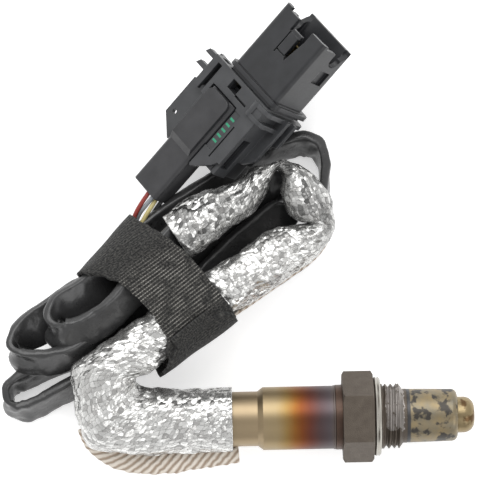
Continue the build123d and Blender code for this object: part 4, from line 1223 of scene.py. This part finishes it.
@dataclass
class Strap:
    """Hook-and-loop strap round the bundle, its end lapped over itself on top.

    The band follows the tight outline of what it holds. In the bundle's own frame a place
    runs along the bundle and another across it, and each station has a place across with
    the places along of the cloth's two edges.
    """

    held: Sequence[bpy.types.Object]
    thickness: float = 1.2
    clearance: float = 0.25
    centre: Point = (-63.45, 34.08, 0.6)
    yaw_degrees: float = 36.5
    near: Pair = (-12.0, -2.0)
    far: Pair = (6.0, 16.0)
    half_width: float = 21.0
    left_sides: Pair = (16.8, 20.6)
    top_edges: tuple[Point, ...] = (
        (-21.0, -8.0, 13.0), (-19.4, -7.6, 14.3), (-17.0, -6.4, 16.1), (-15.0, -5.0, 16.6),
        (-10.6, -2.2, 16.7), (-3.4, -1.4, 16.6), (0.9, -1.8, 16.4), (4.2, -2.4, 16.0),
        (7.9, -3.4, 15.0), (11.3, -5.6, 13.9), (15.0, -9.4, 12.6), (17.5, -11.2, 10.8),
        (19.0, -11.8, 9.4), (21.5, -11.9, 8.2),
    )
    flap_edges: tuple[Point, ...] = (
        (-21.5, -11.0, 12.0), (-19.4, -11.2, 13.9), (-17.5, -10.4, 15.6), (-16.0, -7.0, 16.0),
        (-14.6, -3.6, 14.6), (-13.4, -1.6, 11.0),
    )
    flap_turn: Pair = (134.0, 214.0)
    lip: float = 0.9
    lip_degrees: float = 12.0
    fray: float = 0.3
    lump_pitch: Pair = (2.4, 0.1)
    lump: float = 0.5
    shares: Pair = (-0.25, 1.15)
    steps_round: int = 240
    steps_along: int = 34
    directions: int = 90
    smoothing: int = 7
    map_width: float = 20.0
    outlines: list[list[float]] = field(default_factory=list)

    def local(self, point: Vector) -> Point:
        """Place of a point in the bundle's frame: along it, across it and up.

        Args:
            point: A place in the part's frame.

        Returns:
            Its place along the bundle, across it and up.
        """
        yaw = math.radians(self.yaw_degrees)
        east, north = point.x - self.centre[0], point.y - self.centre[1]
        return (east * math.cos(yaw) + north * math.sin(yaw),
                north * math.cos(yaw) - east * math.sin(yaw), point.z - self.centre[2])

    def outline(self, reach: Pair, least: float) -> list[float]:
        """Tight convex outline of what the strap holds.

        Args:
            reach: the places along the bundle between which it is taken.
            least: half its width on the left, where the wires spread it.

        Returns:
            Its radius by degree, from the left side over the top.
        """
        inside = [(least, 3.0), (least, -3.0)]
        for piece in self.held:
            for vertex in piece.data.vertices:
                along, across, up = self.local(vertex.co / MM)
                if reach[0] < along < reach[1] and abs(across) < self.half_width:
                    inside.append((across, up))
        support = []
        for number in range(self.directions):
            angle = 2 * math.pi * number / self.directions
            cosine, sine = math.cos(angle), math.sin(angle)
            support.append((angle, max(across * cosine + up * sine for across, up in inside)))
        tight = []
        for degree in range(360):
            turn = math.radians(degree)
            tight.append(min(far / math.cos(angle - turn) for angle, far in support
                             if math.cos(angle - turn) > 0.2))
        near = range(-self.smoothing, self.smoothing + 1)
        return [sum(tight[(degree + shift) % 360] for shift in near) / len(near)
                for degree in range(360)]

    def cloth_edges(self, degrees: float, across: float, table: Sequence[Point]) -> Pair:
        """Places along the bundle of the cloth's two edges.

        Args:
            degrees: where it is round the band.
            across: the same as a place across the bundle.
            table: stations of the top side.

        Returns:
            The first and the last place.
        """
        if 0 <= degrees <= 180:
            first = between([(row[0], row[1]) for row in table], across)
            last = between([(row[0], row[2]) for row in table], across)
            return first, last
        share = smooth_step((degrees - 180) / 180)
        right, left = table[0], self.top_edges[-1]
        return (right[1] + (left[1] - right[1]) * share, right[2] + (left[2] - right[2]) * share)

    def radius(self, degrees: float, place: float) -> float:
        """Radius of the outline at a place round the band and along the bundle.

        Args:
            degrees: Angle round the band.
            place: Place along the bundle.

        Returns:
            The distance from the bundle's middle line.
        """
        start, end = sum(self.near) / 2, sum(self.far) / 2
        share = min(self.shares[1], max(self.shares[0], (place - start) / (end - start)))
        lower = math.floor(degrees)
        part = degrees - lower
        first, second = [outline[lower % 360] * (1 - part) + outline[(lower + 1) % 360] * part
                         for outline in self.outlines]
        return first + (second - first) * share

    def point(self, degrees: float, place: float, grow: float) -> Vector:
        """One point of the strap in the part's frame.

        Args:
            degrees: where it lies round the band.
            place: where it lies along the bundle.
            grow: how far outside the outline.

        Returns:
            The point.
        """
        radius = self.radius(degrees, place) + self.clearance + grow
        angle = math.radians(degrees)
        round_it, along_it = self.lump_pitch
        radius += noise.noise(Vector((math.cos(angle) * round_it, math.sin(angle) * round_it,
                                      place * along_it))) * self.lump
        across, up = radius * math.cos(angle), radius * math.sin(angle)
        yaw = math.radians(self.yaw_degrees)
        return Vector((self.centre[0] + math.cos(yaw) * place - math.sin(yaw) * across,
                       self.centre[1] + math.sin(yaw) * place + math.cos(yaw) * across,
                       max(FLOOR_LEVEL + 0.05, self.centre[2] + up)))

    def skin(self, name: str, grow: float, turn: Pair, table: Sequence[Point],
             shift: float) -> bpy.types.Mesh:
        """Cloth of one layer with its thickness.

        Args:
            name: the mesh's name.
            grow: how far outside the outline its inner face lies.
            turn: degrees round the band where it starts and ends.
            table: stations of its top side.
            shift: added to its map's place round the band.

        Returns:
            The layer's mesh.
        """
        whole = turn[1] - turn[0] >= 360
        steps = round(self.steps_round * (turn[1] - turn[0]) / 360)
        rows, run = [], [0.0]
        for number in range(steps if whole else steps + 1):
            degrees = turn[0] + (turn[1] - turn[0]) * number / steps
            across = self.radius(degrees, 0.0) * math.cos(math.radians(degrees))
            first, last = self.cloth_edges(degrees, across, table)
            fray = noise.noise(Vector((degrees * 0.9, grow, 1))) * self.fray
            first, last = first + fray, last + fray * 0.7
            inner = grow
            if not whole:
                inner += self.lip * (1 - smooth_step((degrees - turn[0]) / self.lip_degrees))
            places = [first + (last - first) * step / self.steps_along
                      for step in range(self.steps_along + 1)]
            rows.append([self.point(degrees, place, inner + self.thickness)
                         for place in places]
                        + [self.point(degrees, place, inner) for place in reversed(places)])
        if whole:
            rows.append(rows[0])
        middle = self.steps_along // 2
        for first_row, second_row in zip(rows, rows[1:]):
            run.append(run[-1] + (second_row[middle] - first_row[middle]).length)
        top = run[min(len(run) - 1, max(0, round((90 - turn[0]) / 360 * self.steps_round)))]
        half = len(rows[0]) // 2

        def cloth(row: int, column: int) -> Pair:
            """Place of a vertex on the flat strap, across it and along it."""
            step = column if column < half else 2 * half - 1 - column
            return (step * self.map_width / self.steps_along, run[row] - top + shift)

        return grid_mesh(name, rows, cloth)

    def build(self) -> bpy.types.Object:
        """Returns:
            The band's object.
        """
        self.outlines = [self.outline(self.near, self.left_sides[0]),
                         self.outline(self.far, self.left_sides[1])]
        around = self.skin("band", 0.0, (0.0, 360.0), self.top_edges, 0.0)
        outward(around)
        flap = self.skin("flap", self.thickness, self.flap_turn, self.flap_edges, 60.0)
        close_ends(flap)
        mesh = joined("strap_band", around, flap)
        band = stand_in("strap_band", mesh, STRAP_NYLON, "hook_loop", "strap")
        [piece.name for piece in self.held]
        LOG.info("strap: %.0f mm2 of cloth, left side at %.1f and %.1f mm",
                 sum(face.area for face in band.data.polygons) / 2 / MM / MM,
                 self.outlines[0][0], self.outlines[1][0])
        return band


@dataclass
class Wire:
    """One insulated wire between the connector's cover and the lead tube."""

    name: str
    route: tuple[Point, ...]
    diameter: float = 1.25

    def build(self) -> bpy.types.Object:
        """Returns:
            The wire's object.
        """
        curve = cord_curve(self.name + "_insulation", self.route, 12)
        curve.bevel_depth = self.diameter / 2 * MM
        curve.bevel_resolution = 5
        curve.use_fill_caps = True
        piece = stand_in(curve.name, curve, WIRE_INSULATION[self.name], self.name, self.name)
        length = line_length(spline_points(self.name, self.route, 24))
        [value * MM for value in self.route[-1]]
        LOG.info("%s: %.0f mm long", self.name, length)
        return piece


# ---------------------------------------------------------------- rigid parts
@dataclass
class ThreadedShell:
    """The hexagon's shell with a real mounting thread cut into its plain rod."""

    rod_radius: float = 9.0
    start: float = 0.45
    end: float = 5.1
    pitch: float = 1.5
    depth: float = 0.85
    runout: float = 0.5
    flank: float = 2.4
    crest: float = 0.1
    wear: float = 0.06
    around: int = 120
    step: float = 0.08

    def radius(self, x: float, turn: float) -> float:
        """Radius of the thread's surface.

        Args:
            x: place along the axis.
            turn: share of a full turn.

        Returns:
            The radius in millimetres.
        """
        phase = (x / self.pitch + turn) % 1.0
        tooth = min(1.0, max(0.0, abs(phase - 0.5) * self.flank - self.crest))
        fade = (smooth_step((x - self.start) / self.runout)
                * smooth_step((self.end - x) / self.runout))
        worn = self.wear * noise.noise(Vector((x * 1.2, turn * 40, 0)))
        return self.rod_radius - (self.depth * (1 - tooth) - worn) * fade

    def build(self, nodes: dict) -> bpy.types.Object:
        """Cut the plain wall away and close the gap with the thread.

        Args:
            nodes: the frame's nodes by name.

        Returns:
            The threaded shell.
        """
        mesh = bpy.data.meshes.new("threaded_shell")
        with editing(mesh) as form:
            form.from_mesh(nodes["hex_shell"].data)
            wall = [face for face in form.faces if all(
                self.start - 0.5 < corner.co.x / MM < self.end + 0.05
                and abs(math.hypot(corner.co.y, corner.co.z) / MM - self.rod_radius) < 0.05
                for corner in face.verts)]
            ends = [corner.co.x / MM for face in wall for corner in face.verts]
            bmesh.ops.delete(form, geom=wall, context="FACES")
            LOG.info("thread: %d wall faces cut from %.2f to %.2f mm", len(wall), min(ends),
                     max(ends))
            form.from_mesh(self.thread(min(ends), max(ends)))
        return stand_in("threaded_shell", mesh, BLASTED_STEEL, "hex_steel", "hex_shell")

    def thread(self, first: float, last: float) -> bpy.types.Mesh:
        """Skin of the thread between two places on the axis.

        Args:
            first: Where the skin starts on the axis.
            last: Where it ends.

        Returns:
            The skin's mesh.
        """
        count = round((last - first) / self.step)
        rows = []
        for number in range(count + 1):
            x = first + (last - first) * number / count
            ring = []
            for column in range(self.around):
                turn = column / self.around
                radius = self.radius(x, turn)
                ring.append(Vector((x, radius * math.cos(2 * math.pi * turn),
                                    radius * math.sin(2 * math.pi * turn))))
            rows.append(ring)
        skin = grid_mesh("thread", rows, lambda row, column: (row * self.step, 0.0))
        outward(skin)
        return skin


@dataclass
class CarriedNodes:
    """Solids that keep their shape and get a better surface."""

    finishes: tuple[tuple[Finish, str], ...] = (
        (RING_STEEL, "gasket_ring press_ring"), (SCORCHED_STEEL, "outer_protection_tube"),
        (GOLDEN_STEEL, "inner_protection_tube"), (BURNT_STEEL, "weld_collar"),
        (TINTED_STEEL, "rear_sleeve"), (TALC, "powder_seal"),
        (STEATITE, "sensing_element front_bush rear_bush contact_holder"),
        (PLATED_BRASS, "contacts terminal_pins"), (SILICONE, "seal_grommet wire_seals"),
        (MOULDED_NYLON, "connector_shroud connector_collar terminal_lock"),
        (GREYER_NYLON, "connector_body"), (SMOOTH_COVER, "wire_cover"),
        (TICKED_NYLON, "mounting_bracket"), (LACQUER, "trim_resistor"),
    )

    def build(self, nodes: dict) -> None:
        """Give each of the frame's nodes its material.

        Args:
            nodes: The frame's nodes by name.
        """
        for finish, names in self.finishes:
            material = finish.material()
            for name in names.split():
                nodes[name].data.materials.clear()
                nodes[name].data.materials.append(material)
                LOG.info("%s: %s", name, finish.name)


# ---------------------------------------------------------------- studio
@dataclass
class Studio:
    """Pale floor, soft light and a camera straight above the part."""

    view_centre: Pair = (-37.73, 49.73)
    camera_height: float = 800.0
    frame_width: float = 133.6
    roll_degrees: float = 1.2
    sensor_mm: float = 36.0
    sky_levels: tuple[Pair, ...] = (
        (0.0, 0.6), (0.25, 0.95), (0.6, 1.0), (0.88, 0.72), (1.0, 0.55),
    )
    sky_lean: float = 0.22
    # Each lamp has its name, its place and side in metres, and its power in watts.
    lamps: tuple[tuple[str, Point, float, float], ...] = (
        ("key_softbox", (-0.15, 0.6, 0.7), 0.7, 4.8),
        ("fill_softbox", (0.5, -0.45, 0.7), 0.6, 2.2),
    )
    floor_size: float = 3.0
    floor_gap: float = 0.02
    paper_grey: float = 0.82
    paper_glow: float = 0.5

    def floor(self) -> None:
        """A wide pale floor under the part."""
        bpy.ops.object.select_all(action="DESELECT")
        bpy.ops.mesh.primitive_plane_add(
            size=self.floor_size, location=(0, 0, (FLOOR_LEVEL - self.floor_gap) * MM))
        plane = bpy.context.object
        plane.name = "floor"
        paper = bpy.data.materials.new("white_paper_sweep")
        net = Net(paper)
        path = net.add("LightPath").outputs
        seen = net.calc("MAXIMUM", path["Is Camera Ray"], path["Is Glossy Ray"])
        paint = net.add("BsdfDiffuse", Color=(*[self.paper_grey] * 3, 1.0)).outputs[0]
        glow = net.add("Emission", Color=(1, 1, 1, 1), Strength=self.paper_glow).outputs[0]
        both = net.add("AddShader", paint, glow).outputs[0]
        net.add("OutputMaterial", Surface=net.add("MixShader", seen, paint, both).outputs[0])
        plane.data.materials.append(paper)

    def lamp(self, name: str, place: Point, size: float, power: float) -> None:
        """One square soft lamp that points at the part.

        Args:
            name: the lamp's name.
            place: where it stands, in metres.
            size: length of its side in metres.
            power: its power in watts.
        """
        light = bpy.data.lights.new(name, "AREA")
        light.shape = "SQUARE"
        light.size = size
        light.energy = power
        holder = new_object(name, light)
        target = Vector((self.view_centre[0] * MM, self.view_centre[1] * MM, 0))
        holder.location = place
        holder.rotation_euler = (target - Vector(place)).to_track_quat("-Z", "Y").to_euler()

    def light(self) -> None:
        """World and lamps at a plain level."""
        world = bpy.data.worlds.new("studio")
        bpy.context.scene.world = world
        net = Net(world)
        parts = net.split(net.add("TexCoord").outputs["Generated"])
        colours = net.ramp(parts["Z"], [(height, (level, level, level, 1.0))
                                        for height, level in self.sky_levels])
        leaning = net.calc("MULTIPLY_ADD", parts["Y"], self.sky_lean, 1.0)
        sky = net.add("Background", Color=colours, Strength=leaning)
        net.add("OutputWorld", Surface=sky.outputs[0])
        for lamp in self.lamps:
            self.lamp(*lamp)

    def camera(self) -> None:
        """Camera straight above, turned by the small roll."""
        data = bpy.data.cameras.new("camera")
        data.sensor_fit = "HORIZONTAL"
        data.sensor_width = self.sensor_mm
        data.lens = self.sensor_mm * self.camera_height / self.frame_width
        data.clip_start = 0.05
        data.clip_end = 20.0
        holder = new_object("camera", data)
        holder.location = (self.view_centre[0] * MM, self.view_centre[1] * MM,
                           self.camera_height * MM)
        holder.rotation_euler = (0, 0, math.radians(-self.roll_degrees))
        bpy.context.scene.camera = holder

    def build(self) -> None:
        """Set the whole stage."""
        self.floor()
        self.light()
        self.camera()
        bpy.context.scene.view_settings.view_transform = "Standard"


WIRE_ROUTES: dict[str, tuple[Point, ...]] = {
    "wire_red": ((-60.2, 66.9, 1.2), (-64.2, 61.8, 1.4), (-67.4, 56.6, 1.0),
                 (-69.8, 48.0, 0.4), (-70.8, 38.6, -2.0)),
    "wire_grey": ((-58.9, 65.3, 2.3), (-63.0, 60.8, 2.0), (-66.8, 56.4, -0.6),
                  (-68.2, 46.8, -0.6), (-70.4, 37.4, -2.0)),
    "wire_yellow": ((-58.3, 65.5, -0.1), (-61.6, 60.4, 1.6), (-65.2, 55.0, 1.4),
                    (-68.8, 46.4, 0.2), (-70.7, 38.6, -2.9)),
    "wire_black": ((-57.0, 64.0, 0.9), (-60.8, 59.4, 0.0), (-64.2, 54.0, -1.2),
                   (-67.0, 45.0, -1.2), (-70.3, 37.4, -2.9)),
}


def main() -> None:
    """Build the scene in order."""
    logging.basicConfig(level=logging.INFO, format="%(name)s: %(message)s")
    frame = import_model()
    CarriedNodes().build(frame["nodes"])
    ThreadedShell().build(frame["nodes"])
    sleeve = HeatSleeve().build()
    Selvedge().build()
    tube = LeadTube().build()
    Strap([sleeve, tube]).build()
    for name, route in WIRE_ROUTES.items():
        Wire(name, route).build()
    Studio().build()


if __name__ == "__main__":
    main()
